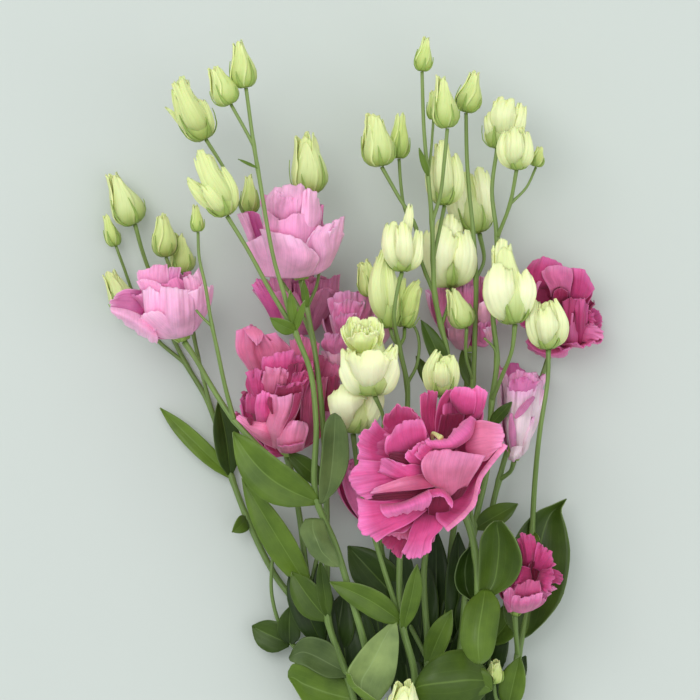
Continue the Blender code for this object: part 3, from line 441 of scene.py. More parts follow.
# Leaves of the foot that need a form of their own: stem letter and nets like those of the petals.
LEAF_NETS = {
    "a": [
        net(3, (305, 519, 66), (313, 518, 66), (323, 519, 65), (300, 531, 68), (313, 530, 71),
            (327, 531, 68), (306, 544, 68), (317, 541, 74), (331, 541, 69), (311, 555, 68), (322, 552, 71),
            (335, 552, 69), (320, 562, 68), (330, 560, 70), (338, 561, 68), (332, 567, 68), (336, 567, 68),
            (339, 567, 68), tone=0.35, out=True),
        net(3, (319, 503, 66), (321, 504, 66), (324, 503, 66), (319, 488, 71), (328, 491, 68),
            (339, 487, 71), (320, 466, 75), (332, 468, 71), (348, 465, 75), (322, 442, 78), (334, 442, 75),
            (348, 440, 78), (325, 424, 79), (335, 423, 78), (346, 427, 79), (330, 415, 79), (335, 413, 79),
            (341, 417, 79), tone=0.14, out=True),
    ],
    "c": [
        net(3, (351, 673, 31), (351, 675, 30), (351, 677, 31), (334, 646, 33), (330, 664, 31),
            (330, 678, 34), (318, 638, 34), (315, 656, 31), (316, 673, 35), (303, 638, 34), (303, 652, 32),
            (304, 666, 35), (294, 647, 33), (294, 655, 32), (295, 663, 33), (290, 655, 33), (289, 658, 33),
            (290, 661, 33), tone=0, out=True),
        net(3, (354, 696, 26), (354, 699, 26), (354, 702, 26), (342, 677, 27), (343, 697, 26),
            (342, 714, 27), (325, 672, 30), (325, 692, 27), (326, 714, 30), (305, 664, 32), (304, 684, 28),
            (308, 708, 31), (293, 664, 31), (294, 678, 29), (298, 694, 30), (288, 671, 30), (288, 677, 30),
            (291, 682, 30), tone=0.85),
    ],
    "e": [
        net(3, (391, 622, 52), (394, 621, 52), (397, 622, 52), (370, 640, 57), (383, 641, 54),
            (399, 641, 55), (355, 658, 60), (372, 663, 55), (397, 666, 56), (347, 671, 61), (362, 680, 55),
            (392, 684, 55), (349, 684, 60), (362, 692, 55), (382, 698, 54), (360, 696, 58), (366, 702, 55),
            (376, 706, 53), tone=0.9, out=True),
        net(4, (346, 672, 61), (348, 683, 61), (357, 693, 60), (372, 704, 57), (351, 675, 64),
            (355, 684, 64), (364, 691, 63), (378, 701, 60), tone=1.1),
    ],
    "j": [
        net(3, (516, 635, 32), (524, 638, 32), (532, 634, 32), (505, 620, 32), (528, 626, 29),
            (548, 618, 31), (503, 595, 31), (532, 596, 26), (563, 595, 30), (507, 560, 30), (538, 560, 24),
            (570, 557, 28), (519, 532, 28), (543, 533, 22), (567, 530, 26), (536, 513, 26), (550, 515, 21),
            (562, 512, 25), (552, 505, 23), (559, 506, 21), (564, 504, 23), (565, 499, 24), (566, 499, 24),
            (567, 499, 24), tone=0.24),
    ],
    "k": [
        net(3, (481, 590, 64), (485, 589, 64), (490, 590, 64), (466, 605, 68), (483, 604, 70),
            (500, 605, 68), (461, 628, 71), (479, 628, 75), (498, 630, 70), (461, 645, 73), (478, 646, 76),
            (494, 648, 71), (467, 657, 72), (479, 659, 74), (489, 658, 70), (475, 663, 71), (479, 664, 71),
            (484, 663, 70), tone=0.62),
        net(3, (479, 597, 62), (484, 598, 61), (492, 597, 62), (478, 580, 66), (494, 582, 61),
            (513, 583, 67), (479, 560, 70), (498, 560, 63), (522, 562, 71), (481, 540, 73), (499, 540, 67),
            (517, 541, 74), (487, 527, 75), (497, 526, 71), (508, 528, 75), (494, 521, 74), (498, 521, 73),
            (502, 521, 74), tone=0.32),
        net(3, (470, 600, 58), (474, 602, 58), (478, 600, 60), (458, 590, 58), (467, 590, 54),
            (478, 588, 60), (454, 576, 60), (465, 574, 56), (477, 572, 62), (459, 560, 62), (467, 558, 58),
            (476, 556, 64), (468, 548, 64), (471, 546, 63), (475, 546, 64), tone=0.05),
        net(3, (493, 678, 50), (493, 681, 50), (493, 685, 50), (472, 653, 56), (470, 680, 60),
            (472, 708, 54), (455, 650, 58), (450, 682, 63), (455, 714, 56), (437, 656, 60), (432, 684, 64),
            (436, 712, 57), (422, 670, 60), (418, 687, 62), (420, 704, 58), (412, 690, 60), (411, 695, 60),
            (412, 700, 59), tone=0.33),
    ],
}

# Buds: name, base point, tip point, belly radius, kind and, where size doesn't settle it, how cream it is.
BUDS = [
    ("bud_01", (-102.5, 381, 55), (-117, 410, 58), 10, FOLDED, 0.22),
    ("bud_02", (-89.5, 398, 93), (-99, 417, 94), 6.4, CLOSED),
    ("bud_03", (-82, 406.5, 93), (-86.5, 430, 94), 6, CLOSED),
    ("bud_04", (-92, 342.5, 87), (-104, 375, 90), 9.5, FOLDED, 0.25),
    ("bud_05", (-138, 338.5, 14), (-150, 364, 18), 8, CLOSED),
    ("bud_06", (-147.3, 327.5, 11), (-152.5, 343, 13), 3.3, CLOSED),
    ("bud_07", (-122.5, 322.5, 24), (-124.5, 343.5, 26), 6, CLOSED),
    ("bud_08", (-113, 314.5, 12), (-116, 334, 14), 6, CLOSED),
    ("bud_09", (-106, 334.5, 72), (-107.5, 348, 72), 2.9, CLOSED),
    ("bud_10", (-49, 354, 38), (-54, 384, 40), 8.8, FOLDED, 0.35),
    ("bud_11", (-79.5, 344, 33), (-81, 363, 34), 4.2, CLOSED),
    ("bud_12", (-140.8, 294, 16.2), (-151, 315, 20), 6.5, FOLDED),
    ("bud_13", (-14.5, 367.5, 52), (-19, 394, 54), 8, FOLDED, 0.25),
    ("bud_14", (-5.5, 371.4, 44), (-5, 394, 45), 4.8, CLOSED),
    ("bud_15", (6, 415, 66), (8, 432, 66), 4, CLOSED),
    ("bud_16", (11.8, 391, 57), (11, 405, 57), 2.4, CLOSED),
    ("bud_17", (18.8, 386.5, 70), (15, 413, 71), 6.3, CLOSED),
    ("bud_18", (28, 394.5, 49), (32.5, 415, 49), 6, CLOSED),
    ("bud_19", (43.5, 376.5, 45.8), (46, 402, 45), 8.5, FOLDED),
    ("bud_20", (53.4, 365.8, 64.4), (54, 389, 68), 8, FOLDED),
    ("bud_21", (63.2, 367, 55), (65, 377, 56), 3.3, CLOSED),
    ("bud_22", (-4, 87, 63.4), (-3, 110, 68), 9, FOLDED),
    ("bud_23", (17.3, 347.8, 47.6), (16, 382, 47), 8, FOLDED),
    ("bud_24", (34.4, 333.8, 26), (25, 367, 26), 10.5, FOLDED),
    ("bud_25", (21, 306.8, 37.6), (18, 343, 37), 11, FOLDED),
    ("bud_26", (-4, 315, 69), (-4, 341, 71), 9, FOLDED),
    ("bud_27", (-10, 286.5, 57.9), (-14.5, 326, 58), 7, FOLDED),
    ("bud_28", (-2.8, 286.6, 50.6), (5, 309, 50), 5, CLOSED),
    ("bud_29", (52.5, 289, 61), (45, 331, 64), 11.5, FOLDED),
    ("bud_30", (69.2, 276.5, 54), (67, 302, 56), 8.8, FOLDED),
    ("bud_31", (28.3, 287, 46), (20, 306, 48), 6, CLOSED, 0.55),
    ("bud_32", (-18, 253, 78), (-22, 292, 82), 13.5, CROWNED),
    ("bud_33", (-28.8, 234.5, 58), (-25.5, 263, 60), 11.5, FOLDED),
    ("bud_34", (15, 253, 72), (18, 275, 76), 7.5, FOLDED),
    ("bud_35", (-19.2, 302.8, 46.5), (-24, 320, 48), 5.5, FOLDED),
    ("bud_36", (42, 109.2, 44.4), (42.5, 120, 47.5), 4, FOLDED),
]

# Outer petals of the larger buds, placed one by one on the sheet of half-millimetre squares.
BUD_PETALS = {
    "bud_01": [
        strip((200, 125, 55, 4), (190, 105, 60, 10), (183, 90, 62, 9), (182, 76, 60, 7), cup=-1.3,
              frill=0.5),
        strip((204, 137, 55, 3), (189, 124, 61, 9), (180, 108, 62, 8), (175, 88, 59, 5), cup=-1.2,
              frill=0.4),
        strip((206, 137, 55, 3), (207, 124, 62, 9), (204, 112, 63, 9), (199, 99, 60, 5), cup=-1.2,
              frill=0.3),
        strip((205, 137, 56, 4), (199, 124, 66, 15), (190, 107, 69, 13), (183, 92, 67, 9), (178, 79, 64, 8),
              cup=-1.2, frill=0.6),
        strip((201, 137, 54, 2), (186, 127, 58, 3), (175, 116, 58, 3), (165, 107, 55, 0.6), cup=-0.5,
              frill=0.1),
    ],
    "bud_04": [
        strip((225, 214, 86, 3), (211, 203, 93, 9), (199, 191, 94, 9), (187, 178, 91, 3), cup=-1.1,
              frill=0.3),
        strip((228, 214, 86, 3), (231, 199, 93, 8), (228, 184, 95, 9), (219, 168, 92, 6), cup=-1.2,
              frill=0.3),
        strip((226, 214, 86, 4), (222, 196, 97, 14), (210, 176, 100, 14), (199, 150, 96, 8), cup=-1.2,
              frill=0.5),
        strip((226, 215, 87, 4), (219, 205, 97, 10), (211, 194, 100, 9), (203, 184, 98, 4), cup=-1.1,
              frill=0.3),
    ],
    "bud_19": [
        strip((496, 146, 45, 4), (494, 134, 50, 9), (491, 122, 52, 9), (490, 112, 50, 5), cup=-1.2,
              frill=0.5),
        strip((498, 146, 46, 4), (503, 130, 54, 13), (504, 113, 57, 15), (508, 97, 54, 9), cup=-1.1,
              frill=0.6),
        strip((499, 146, 45, 4), (513, 132, 50, 10), (518, 118, 52, 10), (521, 103, 50, 6), cup=-1.1,
              frill=0.5),
    ],
    "bud_20": [
        strip((516, 167, 65, 4), (507, 156, 73, 10), (505, 144, 75, 9), (509, 130, 72, 5), cup=-1.2,
              frill=0.3),
        strip((517, 167, 65, 4), (524, 156, 73, 10), (526, 144, 74, 9), (524, 131, 71, 5), cup=-1.2,
              frill=0.3),
        strip((516, 167, 66, 4), (515, 156, 76, 12), (515, 142, 79, 12), (514, 127, 76, 7), cup=-1.2,
              frill=0.4),
    ],
    "bud_23": [
        strip((444, 203, 48, 4), (435, 190, 53, 9), (432, 174, 54, 9), (431, 156, 52, 5), cup=-1.2,
              frill=0.4),
        strip((446, 203, 48, 4), (455, 192, 53, 9), (457, 176, 54, 9), (452, 154, 52, 6), cup=-1.2,
              frill=0.4),
        strip((445, 203, 49, 4), (444, 190, 57, 11), (443, 170, 59, 11), (442, 140, 56, 6), cup=-1.2,
              frill=0.5),
    ],
    "bud_24": [
        strip((477, 230, 26, 4), (463, 214, 32, 13), (458, 196, 34, 14), (460, 176, 31, 9), cup=-1.1,
              frill=0.5),
        strip((480, 230, 26, 4), (486, 212, 33, 11), (484, 192, 36, 11), (479, 167, 33, 8), cup=-1.2,
              frill=0.5),
    ],
    "bud_25": [
        strip((452, 270, 38, 5), (449, 245, 46, 15), (449, 228, 48, 15), (450, 214, 47, 10), cup=-1,
              frill=0.8),
        strip((453, 286, 38, 4), (463, 270, 49, 13), (465, 248, 51, 14), (462, 230, 48, 9), cup=-1.1,
              frill=0.4),
        strip((452, 286, 38, 4), (441, 269, 51, 20), (440, 247, 55, 22), (445, 226, 52, 16), cup=-1.1,
              frill=0.4),
    ],
    "bud_26": [
        strip((404, 250, 70, 3), (407, 228, 75, 6), (409, 214, 76, 5), (410, 204, 75, 2), cup=-1,
              frill=0.2),
        strip((402, 270, 70, 4), (394, 256, 79, 11), (391, 240, 81, 11), (393, 221, 78, 7), cup=-1.2,
              frill=0.5),
        strip((404, 270, 70, 4), (414, 258, 78, 9), (417, 244, 79, 8), (419, 230, 76, 4), cup=-1.2,
              frill=0.4),
        strip((403, 270, 71, 4), (404, 257, 82, 11), (404, 240, 86, 11), (402, 222, 83, 7), cup=-1.2,
              frill=0.5),
    ],
    "bud_27": [
        strip((391, 325, 58, 3), (392, 302, 65, 8), (391, 282, 67, 8), (388, 262, 64, 4), cup=-1.2,
              frill=0.4),
        strip((391, 325, 58, 4), (381, 306, 66, 11), (378, 282, 68, 11), (384, 250, 63, 6), cup=-1.2,
              frill=0.5),
    ],
    "bud_28": [
        strip((397, 326, 50, 3), (400, 308, 56, 8), (400, 292, 58, 8), (402, 277, 55, 5), cup=-1.2,
              frill=0.4),
        strip((398, 326, 50, 4), (407, 309, 57, 11), (411, 294, 59, 10), (419, 280, 55, 4), cup=-1.2,
              frill=0.4),
    ],
    "bud_29": [
        strip((514, 312, 58, 5), (506, 288, 62, 13), (502, 262, 65, 13), (503, 239, 64, 9), cup=-1.2,
              frill=0.6),
        strip((516, 320, 60, 4), (524, 304, 69, 11), (526, 287, 71, 12), (522, 270, 68, 7), cup=-1.1,
              frill=0.4),
        strip((514, 320, 60, 4), (503, 304, 73, 17), (499, 284, 77, 18), (500, 263, 73, 13), cup=-1.1,
              frill=0.4),
    ],
    "bud_30": [
        strip((551, 346, 54, 4), (558, 335, 61, 10), (560, 319, 63, 10), (553, 299, 60, 4), cup=-1.2,
              frill=0.2),
        strip((549, 346, 54, 4), (538, 335, 61, 11), (534, 319, 63, 11), (536, 300, 60, 5), cup=-1.2,
              frill=0.3),
        strip((550, 346, 55, 4), (548, 335, 66, 13), (547, 321, 69, 13), (545, 307, 66, 7), cup=-1.2,
              frill=0.3),
    ],
    "bud_32": [
        strip((366, 356, 80, 6), (364, 338, 84, 13), (363, 326, 88, 16), (363, 317, 88, 14), cup=0.8,
              frill=0.9, skin=FRILL),
        strip((362, 354, 80, 5), (355, 341, 86, 9), (351, 331, 90, 10), (349, 322, 89, 8), cup=0.8,
              frill=0.9, skin=FRILL),
        strip((370, 354, 80, 5), (374, 341, 86, 8), (376, 332, 90, 9), (377, 323, 89, 7), cup=0.8,
              frill=0.9, skin=FRILL),
        strip((364, 352, 82, 4), (361, 339, 92, 8), (360, 331, 95, 9), (361, 325, 95, 7), cup=1,
              frill=0.9, skin=FRILL),
        strip((367, 352, 82, 4), (369, 341, 93, 7), (369, 334, 96, 8), (368, 327, 96, 6), cup=1,
              frill=0.8, skin=FRILL),
        strip((365, 356, 84, 8), (364, 346, 94, 15), (363, 339, 99, 16), (362, 332, 100, 15), cup=-0.9,
              frill=0.9, roll=-1.6, skin=FRILL),
        strip((370, 394, 76, 4), (383, 380, 87, 15), (389, 363, 90, 15), (395, 345, 88, 3), cup=-1,
              frill=0.4, roll=-1),
        strip((368, 394, 76, 4), (356, 380, 88, 16), (350, 364, 91, 15), (344, 349, 89, 4), cup=-1,
              frill=0.4, roll=-1),
        strip((369, 394, 77, 5), (369, 379, 94, 19), (369, 363, 101, 22), (369, 350, 101, 21), cup=-1,
              frill=0.3, roll=-0.8),
    ],
    "bud_33": [
        strip((358, 428, 58, 4), (371, 413, 67, 11), (375, 398, 69, 11), (374, 384, 66, 7), cup=-1.2,
              frill=0.2),
        strip((356, 428, 58, 4), (349, 412, 74, 20), (348, 398, 78, 22), (350, 385, 76, 18), cup=-1.2,
              frill=0.2),
    ],
    "bud_34": [
        strip((440, 394, 70, 3), (432, 383, 77, 9), (430, 370, 79, 9), (438, 350, 77, 3), cup=-1.2,
              frill=0.2),
        strip((441, 394, 70, 3), (450, 383, 77, 9), (452, 369, 79, 9), (452, 355, 76, 5), cup=-1.2,
              frill=0.3),
        strip((440, 394, 71, 4), (441, 383, 81, 10), (441, 371, 84, 10), (440, 361, 82, 5), cup=-1.2,
              frill=0.2),
    ],
}

# Blooms: base, axis and core place the cup that holds the petals, and rows are rings of like petals:
# (count, first azimuth, length, half width, open at base, open at rim, bend, ruffle, curl of the rim).
# Azimuth 0 is at the left, 90 towards the camera and 180 at the right; on bloom_06 it is 0 right and 90 up.
BLOOMS = {
    "bloom_01": dict(
        base=(-54.5, 311, 57.5), axis=(-0.1, 1, 0.1), core=4.5, palette="light", slot="petal_light",
        phase=0.4,
        rows=[(4, 225, 30, 12, 80, 6, 0.8, 1.2, 15), (5, 30, 36, 11, 52, -24, 1, 1, 20)],
    ),
    "bloom_02": dict(
        base=(-113.5, 280, 43), axis=(-0.4, 1, 0.12), core=4.5, palette="light", slot="petal_light",
        phase=1.3,
        rows=[(4, 225, 29, 12, 80, 12, 0.8, 1, 10), (4, 15, 31, 10, 50, -6, 0.9, 1, 15)],
    ),
    "bloom_03": dict(
        base=(-55.5, 283.5, 19.5), axis=(0, 1, 0.08), core=3.8, palette="rose", slot="petal_deep",
        phase=2.2,
        rows=[(5, 60, 28, 10.5, 78, 12, 0.7, 1.2, 15), (4, 20, 28, 9, 44, 4, 0.8, 1.4, 5),
              (3, 50, 26, 7, 20, 0, 0.8, 1.2, 0)],
    ),
    "bloom_04": dict(
        base=(-62, 223.5, 25), axis=(-0.05, 1, 0.3), core=4.5, palette="deep", slot="petal_deep",
        lean=2.4, phase=0.9,
        rows=[(5, 230, 34, 12, 84, 10, 0.8, 1.2, 20), (4, 20, 36, 12, 56, 0, 0.9, 1.4, 20)],
    ),
    "bloom_05": dict(
        base=(-25.5, 269, 26), axis=(-0.04, 1, 0.12), core=3.5, palette="mauve", slot="petal_deep",
        phase=3,
        rows=[(4, 240, 31, 10, 70, -4, 0.8, 1.4, 10), (4, 20, 31, 9, 46, -6, 0.9, 1.4, 15),
              (3, 50, 30, 6, 20, -4, 0.9, 1.2, 10)],
    ),
    "bloom_06": dict(
        base=(16.5, 209, 74), axis=(-0.24, 0.06, 1), core=5, palette="deep", slot="petal_deep",
        lean=2.4, phase=0, pistil=[(434, 446, 90), (433, 433, 102), (441, 438, 109)],
        rows=[(5, 40, 15, 8, 60, 84, 0.8, 0.8, 8)],
    ),
    "bloom_07": dict(
        base=(73, 281, 6.8), axis=(0.2, 0.66, 0.55), core=4, palette="dark", slot="petal_dark", lean=1.8,
        phase=1.1,
        rows=[(6, 80, 23, 11, 84, 34, 0.8, 1, 15), (4, 40, 23, 8, 50, 18, 0.9, 1, 15)],
    ),
    "bloom_08": dict(
        base=(29.7, 274.5, 15), axis=(-0.06, 1, 0), core=3.2, palette="mauve", slot="petal_deep",
        phase=0.2,
        rows=[(4, 240, 34, 10, 68, -8, 0.8, 1.2, 10), (4, 20, 32, 8, 40, -6, 0.9, 1.3, 10),
              (3, 50, 30, 5, 16, -4, 0.9, 1, 5)],
    ),
    "bloom_09": dict(
        base=(52, 220, 19), axis=(0.09, 1, 0.06), core=2.8, palette="lavender", slot="petal_light",
        phase=2,
        rows=[(3, 240, 42, 8, 34, -6, 0.8, 0.9, 20), (4, 20, 43, 7, 26, 0, 0.8, 1.1, 20)],
    ),
    "bloom_10": dict(
        base=(52.5, 144.2, 46), axis=(0.3, 1, 0.4), core=3.2, palette="dark", slot="petal_dark",
        phase=1.6,
        rows=[(5, 250, 20, 9, 62, 12, 0.8, 1.2, 15)],
    ),
    "bloom_11": dict(
        base=(-15.3, 184.5, 17), axis=(-0.08, 1, 0), core=3.2, palette="dark", slot="petal_dark",
        phase=2.6,
        rows=[(4, 60, 36, 10, 66, -4, 0.8, 1.3, 10), (4, 20, 34, 8, 36, -2, 0.9, 1.3, 10),
              (3, 50, 31, 6, 14, 0, 0.9, 1.1, 5)],
    ),
}

# Petals of the blooms that are placed one by one on the sheet of squares. One marked out shows its outer
# face to the camera. Tone is 0 in the bloom's own colour, 1 in that of its inner rows, partly deeper colour
# and partly painted shade, and above 1 painted shade where the petal lies in shade: the nets with a tone
# above 1 are dark sheets of painted shade in throats, creases and gaps. Foot is where its colours start on
# the way from the throat to the rim, and a low foot shows more of the dark throat.
BLOOM_PETALS = {
    "bloom_01": [
        strip((290, 262, 54, 6), (286, 225, 60, 19), (284, 203, 63, 22), (284, 191, 62, 20), cup=-0.7,
              frill=1, roll=0, tone=0.6),
        net(3, (316, 262, 60), (318, 250, 62), (314, 240, 62), (319, 232, 64), (322, 222, 64),
            (318, 214, 64), (320, 218, 63), (323, 210, 62), (319, 203, 62), frill=0.3, tone=1),
        net(4, (272, 236, 72), (286, 238, 76), (303, 236, 75), (317, 226, 68), (266, 202, 76),
            (284, 206, 84), (303, 204, 82), (320, 208, 70), (274, 189, 72), (287, 185, 77), (304, 187, 75),
            (318, 199, 67), frill=0.9, tone=0.16, out=True),
        net(3, (276, 222, 80), (285, 226, 83), (297, 220, 82), (274, 207, 82), (285, 207, 87),
            (297, 205, 85), (277, 199, 81), (287, 196, 85), (297, 198, 83), frill=1.1, tone=0.5, out=True),
        net(3, (269, 215, 77), (275, 218, 80), (282, 214, 82), (268, 202, 78), (275, 202, 82),
            (283, 202, 84), (270, 195, 76), (277, 192, 80), (285, 194, 81), frill=1, tone=0.16, out=True),
        net(3, (300, 240, 80), (310, 238, 78), (319, 230, 70), (301, 213, 84), (311, 214, 82),
            (322, 214, 71), (303, 191, 80), (311, 189, 79), (320, 201, 69), frill=0.8, tone=0.1, out=True),
        net(4, (274, 262, 66), (285, 266, 71), (298, 266, 71), (312, 262, 66), (265, 234, 77),
            (281, 239, 84), (300, 237, 84), (319, 232, 73), (263, 206, 79), (282, 220, 88), (299, 212, 87),
            (317, 226, 74), frill=0.9, tone=0.6, out=True),
        net(3, (256, 250, 60), (260, 246, 62), (266, 240, 64), (249, 230, 62), (256, 230, 60),
            (264, 228, 64), (243, 213, 62), (250, 211, 61), (260, 214, 63), frill=0.3, tone=1),
        net(3, (252, 252, 62), (256, 248, 64), (258, 244, 63), (245, 232, 64), (250, 232, 67),
            (254, 234, 64), (237, 214, 64), (242, 213, 66), (247, 213, 64), frill=0.3, tone=0.16, out=True),
        net(3, (262, 276, 57), (269, 277, 62), (277, 277, 62), (252, 258, 65), (264, 258, 73),
            (277, 256, 76), (247, 243, 66), (258, 237, 74), (272, 234, 78), frill=0.6, tone=0.16, out=True),
        net(3, (309, 276, 60), (320, 273, 62), (330, 266, 58), (306, 254, 73), (324, 254, 76),
            (338, 250, 65), (300, 240, 77), (322, 238, 79), (343, 235, 67), (306, 233, 76), (327, 224, 76),
            (345, 216, 69), frill=0.9, folds=0.2, tone=0.1, out=True),
        net(4, (268, 277, 58), (282, 278, 64), (297, 278, 65), (310, 276, 60), (267, 262, 71),
            (284, 264, 82), (302, 266, 83), (317, 265, 73), (266, 246, 77), (284, 250, 89), (303, 252, 89),
            (319, 258, 77), (260, 229, 77), (280, 233, 90), (297, 238, 89), (313, 250, 81), frill=0.4,
            tone=0.16, out=True),
    ],
    "bloom_02": [
        strip((178, 334, 44, 5), (165, 311, 48, 13), (157, 291, 50, 15), (151, 277, 50, 10), cup=0.5,
              frill=0.8, tone=0.7),
        strip((180, 334, 44, 5), (176, 308, 47, 13), (174, 290, 49, 15), (172, 272, 48, 10), cup=0.5,
              frill=0.8, tone=0.7),
        net(3, (160, 296, 54), (170, 296, 55), (178, 294, 54), (162, 282, 56), (171, 280, 57),
            (179, 280, 56), (165, 270, 56), (173, 267, 57), (181, 268, 55), frill=0.6, tone=0.1),
        net(3, (146, 292, 54), (157, 294, 55), (168, 292, 54), (138, 280, 56), (153, 280, 59),
            (169, 280, 57), (136, 273, 56), (153, 266, 59), (167, 264, 57), frill=0.9, tone=0.5, out=True),
        net(3, (190, 334, 46), (196, 330, 48), (201, 323, 44), (188, 310, 56), (198, 308, 58),
            (207, 306, 52), (184, 284, 57), (195, 282, 60), (206, 290, 53), (183, 277, 56), (192, 275, 58),
            (199, 268, 54), frill=0.7, folds=0.2, tone=0.1, out=True),
        net(3, (143, 316, 50), (144, 304, 50), (142, 290, 50), (128, 312, 54), (126, 302, 53),
            (127, 289, 55), (112, 308, 57), (110, 302, 57), (117, 294, 57), frill=0.6, tone=0.1, foot=0.08),
        net(3, (144, 294, 57), (152, 294, 60), (161, 298, 60), (139, 286, 59), (150, 285, 62),
            (161, 289, 61), (136, 281, 59), (148, 279, 62), (161, 284, 61), frill=0.5, tone=0.4, out=True),
        net(3, (152, 332, 56), (155, 331, 58), (159, 328, 58), (145, 312, 61), (151, 310, 64),
            (159, 310, 62), (143, 291, 60), (150, 287, 63), (159, 293, 62), frill=0.4, tone=0, out=True),
        net(4, (110, 307, 58), (128, 310, 60), (143, 317, 60), (156, 332, 56), (111, 311, 60),
            (128, 318, 64), (143, 328, 63), (158, 339, 55), (114, 314, 57), (128, 326, 57), (142, 336, 54),
            (157, 344, 48), frill=0.4, tone=0, out=True),
        net(3, (165, 336, 46), (178, 338, 51), (193, 334, 47), (160, 318, 60), (176, 320, 67),
            (195, 317, 60), (159, 301, 62), (175, 302, 69), (194, 300, 62), (161, 286, 61), (174, 288, 67),
            (192, 290, 61), frill=0.6, folds=0.35, tone=0, out=True),
    ],
    "bloom_03": [
        net(3, (300, 334, 22), (308, 334, 24), (316, 330, 24), (310, 306, 32), (322, 306, 35),
            (336, 304, 32), (312, 282, 33), (326, 279, 35), (341, 274, 32), frill=1, tone=0.4, out=True),
        net(3, (294, 334, 24), (302, 335, 26), (310, 334, 24), (294, 310, 33), (304, 312, 35),
            (314, 310, 33), (294, 284, 34), (306, 282, 36), (316, 284, 34), frill=0.9, tone=0.6, out=True),
        net(3, (286, 332, 24), (290, 332, 25), (294, 332, 24), (274, 306, 33), (281, 304, 36),
            (292, 304, 34), (268, 282, 34), (277, 276, 36), (291, 278, 34), frill=0.7, tone=0, out=True),
        net(3, (276, 328, 27), (282, 328, 28), (288, 324, 26), (264, 306, 34), (271, 302, 37),
            (279, 298, 35), (252, 285, 35), (258, 279, 36), (268, 280, 34), frill=0.7, tone=0),
    ],
    "bloom_04": [
        strip((291, 446, 30, 5), (302, 405, 38, 20), (312, 375, 42, 25), (317, 354, 42, 22), cup=0.4,
              frill=2, tone=0.6, out=True),
        net(3, (306, 446, 38), (318, 440, 39), (330, 424, 36), (316, 412, 45), (328, 404, 46),
            (339, 398, 42), (318, 388, 48), (330, 377, 49), (341, 377, 44), frill=1, tone=1, out=True),
        net(5, (262, 390, 40), (268, 390, 43), (275, 390, 44), (284, 388, 43), (292, 385, 42),
            (246, 366, 47), (254, 364, 52), (264, 362, 50), (276, 361, 54), (290, 360, 51), (237, 350, 52),
            (248, 348, 55), (260, 349, 52), (274, 347, 56), (291, 349, 53), (238, 331, 53), (247, 325, 57),
            (255, 327, 53), (262, 332, 56), (280, 337, 53), frill=2.1, folds=0.3, tone=0.3, out=True),
        net(3, (243, 328, 57), (252, 326, 57), (262, 331, 57), (247, 334, 59), (255, 336, 60),
            (263, 335, 59), (254, 341, 58), (257, 345, 58), (261, 341, 58), frill=0.3, tone=0, foot=0.6,
            out=True),
        net(3, (290, 385, 46), (300, 385, 48), (314, 380, 46), (290, 360, 52), (302, 358, 54),
            (318, 358, 50), (290, 340, 52), (304, 336, 53), (320, 344, 50), frill=0.9, tone=0.4, out=True),
        net(3, (268, 388, 56), (285, 390, 58), (305, 386, 56), (262, 370, 60), (284, 367, 65),
            (308, 367, 60), (265, 359, 60), (284, 351, 64), (306, 357, 60), frill=2.4, folds=0.3,
            tone=0.15),
        net(3, (280, 400, 60), (292, 402, 62), (304, 398, 60), (284, 382, 66), (296, 384, 68),
            (310, 380, 65), (287, 368, 66), (298, 363, 67), (311, 362, 64), frill=2.6, tone=1.08),
        net(3, (286, 400, 62), (294, 400, 64), (304, 396, 62), (290, 386, 68), (299, 384, 69),
            (310, 378, 66), (293, 374, 69), (302, 371, 69), (311, 370, 66), frill=2.6, tone=0.7),
        net(3, (300, 446, 46), (306, 446, 48), (314, 440, 42), (300, 424, 57), (311, 422, 58),
            (322, 416, 51), (301, 400, 60), (312, 397, 60), (326, 392, 53), (302, 384, 59), (313, 380, 58),
            (328, 377, 52), frill=1, folds=0.4, tone=0.7, out=True),
        net(3, (254, 404, 57), (262, 404, 60), (268, 402, 60), (246, 387, 62), (255, 387, 66),
            (266, 387, 64), (245, 376, 62), (254, 369, 65), (264, 372, 63), frill=2.4, folds=0.3, tone=0.4),
        net(3, (262, 400, 60), (273, 402, 63), (286, 398, 61), (262, 382, 65), (275, 381, 70),
            (289, 381, 66), (263, 371, 65), (276, 367, 69), (287, 371, 66), frill=2, folds=0.3, tone=0.15,
            foot=0.25, out=True),
        net(3, (278, 406, 62), (290, 406, 65), (302, 400, 62), (275, 393, 69), (289, 394, 72),
            (304, 388, 68), (277, 385, 70), (292, 384, 72), (309, 377, 68), frill=2.4, tone=0.6),
        net(3, (246, 412, 56), (254, 414, 59), (262, 414, 60), (246, 402, 58), (253, 402, 62),
            (260, 402, 63), (248, 393, 58), (254, 392, 61), (260, 393, 62), frill=1.2, tone=0.4),
        net(3, (276, 449, 50), (280, 440, 56), (283, 430, 56), (262, 442, 58), (262, 432, 65),
            (268, 421, 64), (249, 431, 60), (249, 426, 62), (254, 421, 62), (237, 419, 59), (237, 417, 60),
            (240, 414, 59), frill=0.5, tone=0, out=True),
        net(3, (284, 456, 36), (279, 452, 41), (274, 446, 43), (274, 458, 42), (268, 450, 47),
            (263, 443, 49), frill=0.3, tone=0.2),
        net(3, (257, 422, 62), (264, 422, 65), (272, 420, 63), (255, 409, 68), (262, 409, 72),
            (270, 407, 69), (257, 395, 68), (264, 391, 71), (270, 394, 69), frill=0.5, tone=0),
        net(3, (272, 447, 52), (279, 448, 57), (287, 447, 54), (266, 427, 64), (278, 427, 72),
            (293, 424, 66), (270, 409, 68), (284, 409, 76), (300, 406, 69), (269, 394, 69), (284, 396, 76),
            (301, 390, 69), frill=0.5, folds=0.25, tone=0, foot=0.45, out=True),
        net(3, (283, 430, 72), (285, 427, 73), (287, 424, 73), (291, 412, 76), (294, 412, 77),
            (297, 412, 76), (295, 393, 75), (299, 393, 76), (303, 393, 74), frill=0.2, tone=1.12, foot=0.1),
        net(3, (274, 395, 71), (288, 396, 73), (303, 391, 71), (277, 387, 72), (289, 388, 74),
            (302, 384, 72), frill=0.3, tone=1.18, foot=0),
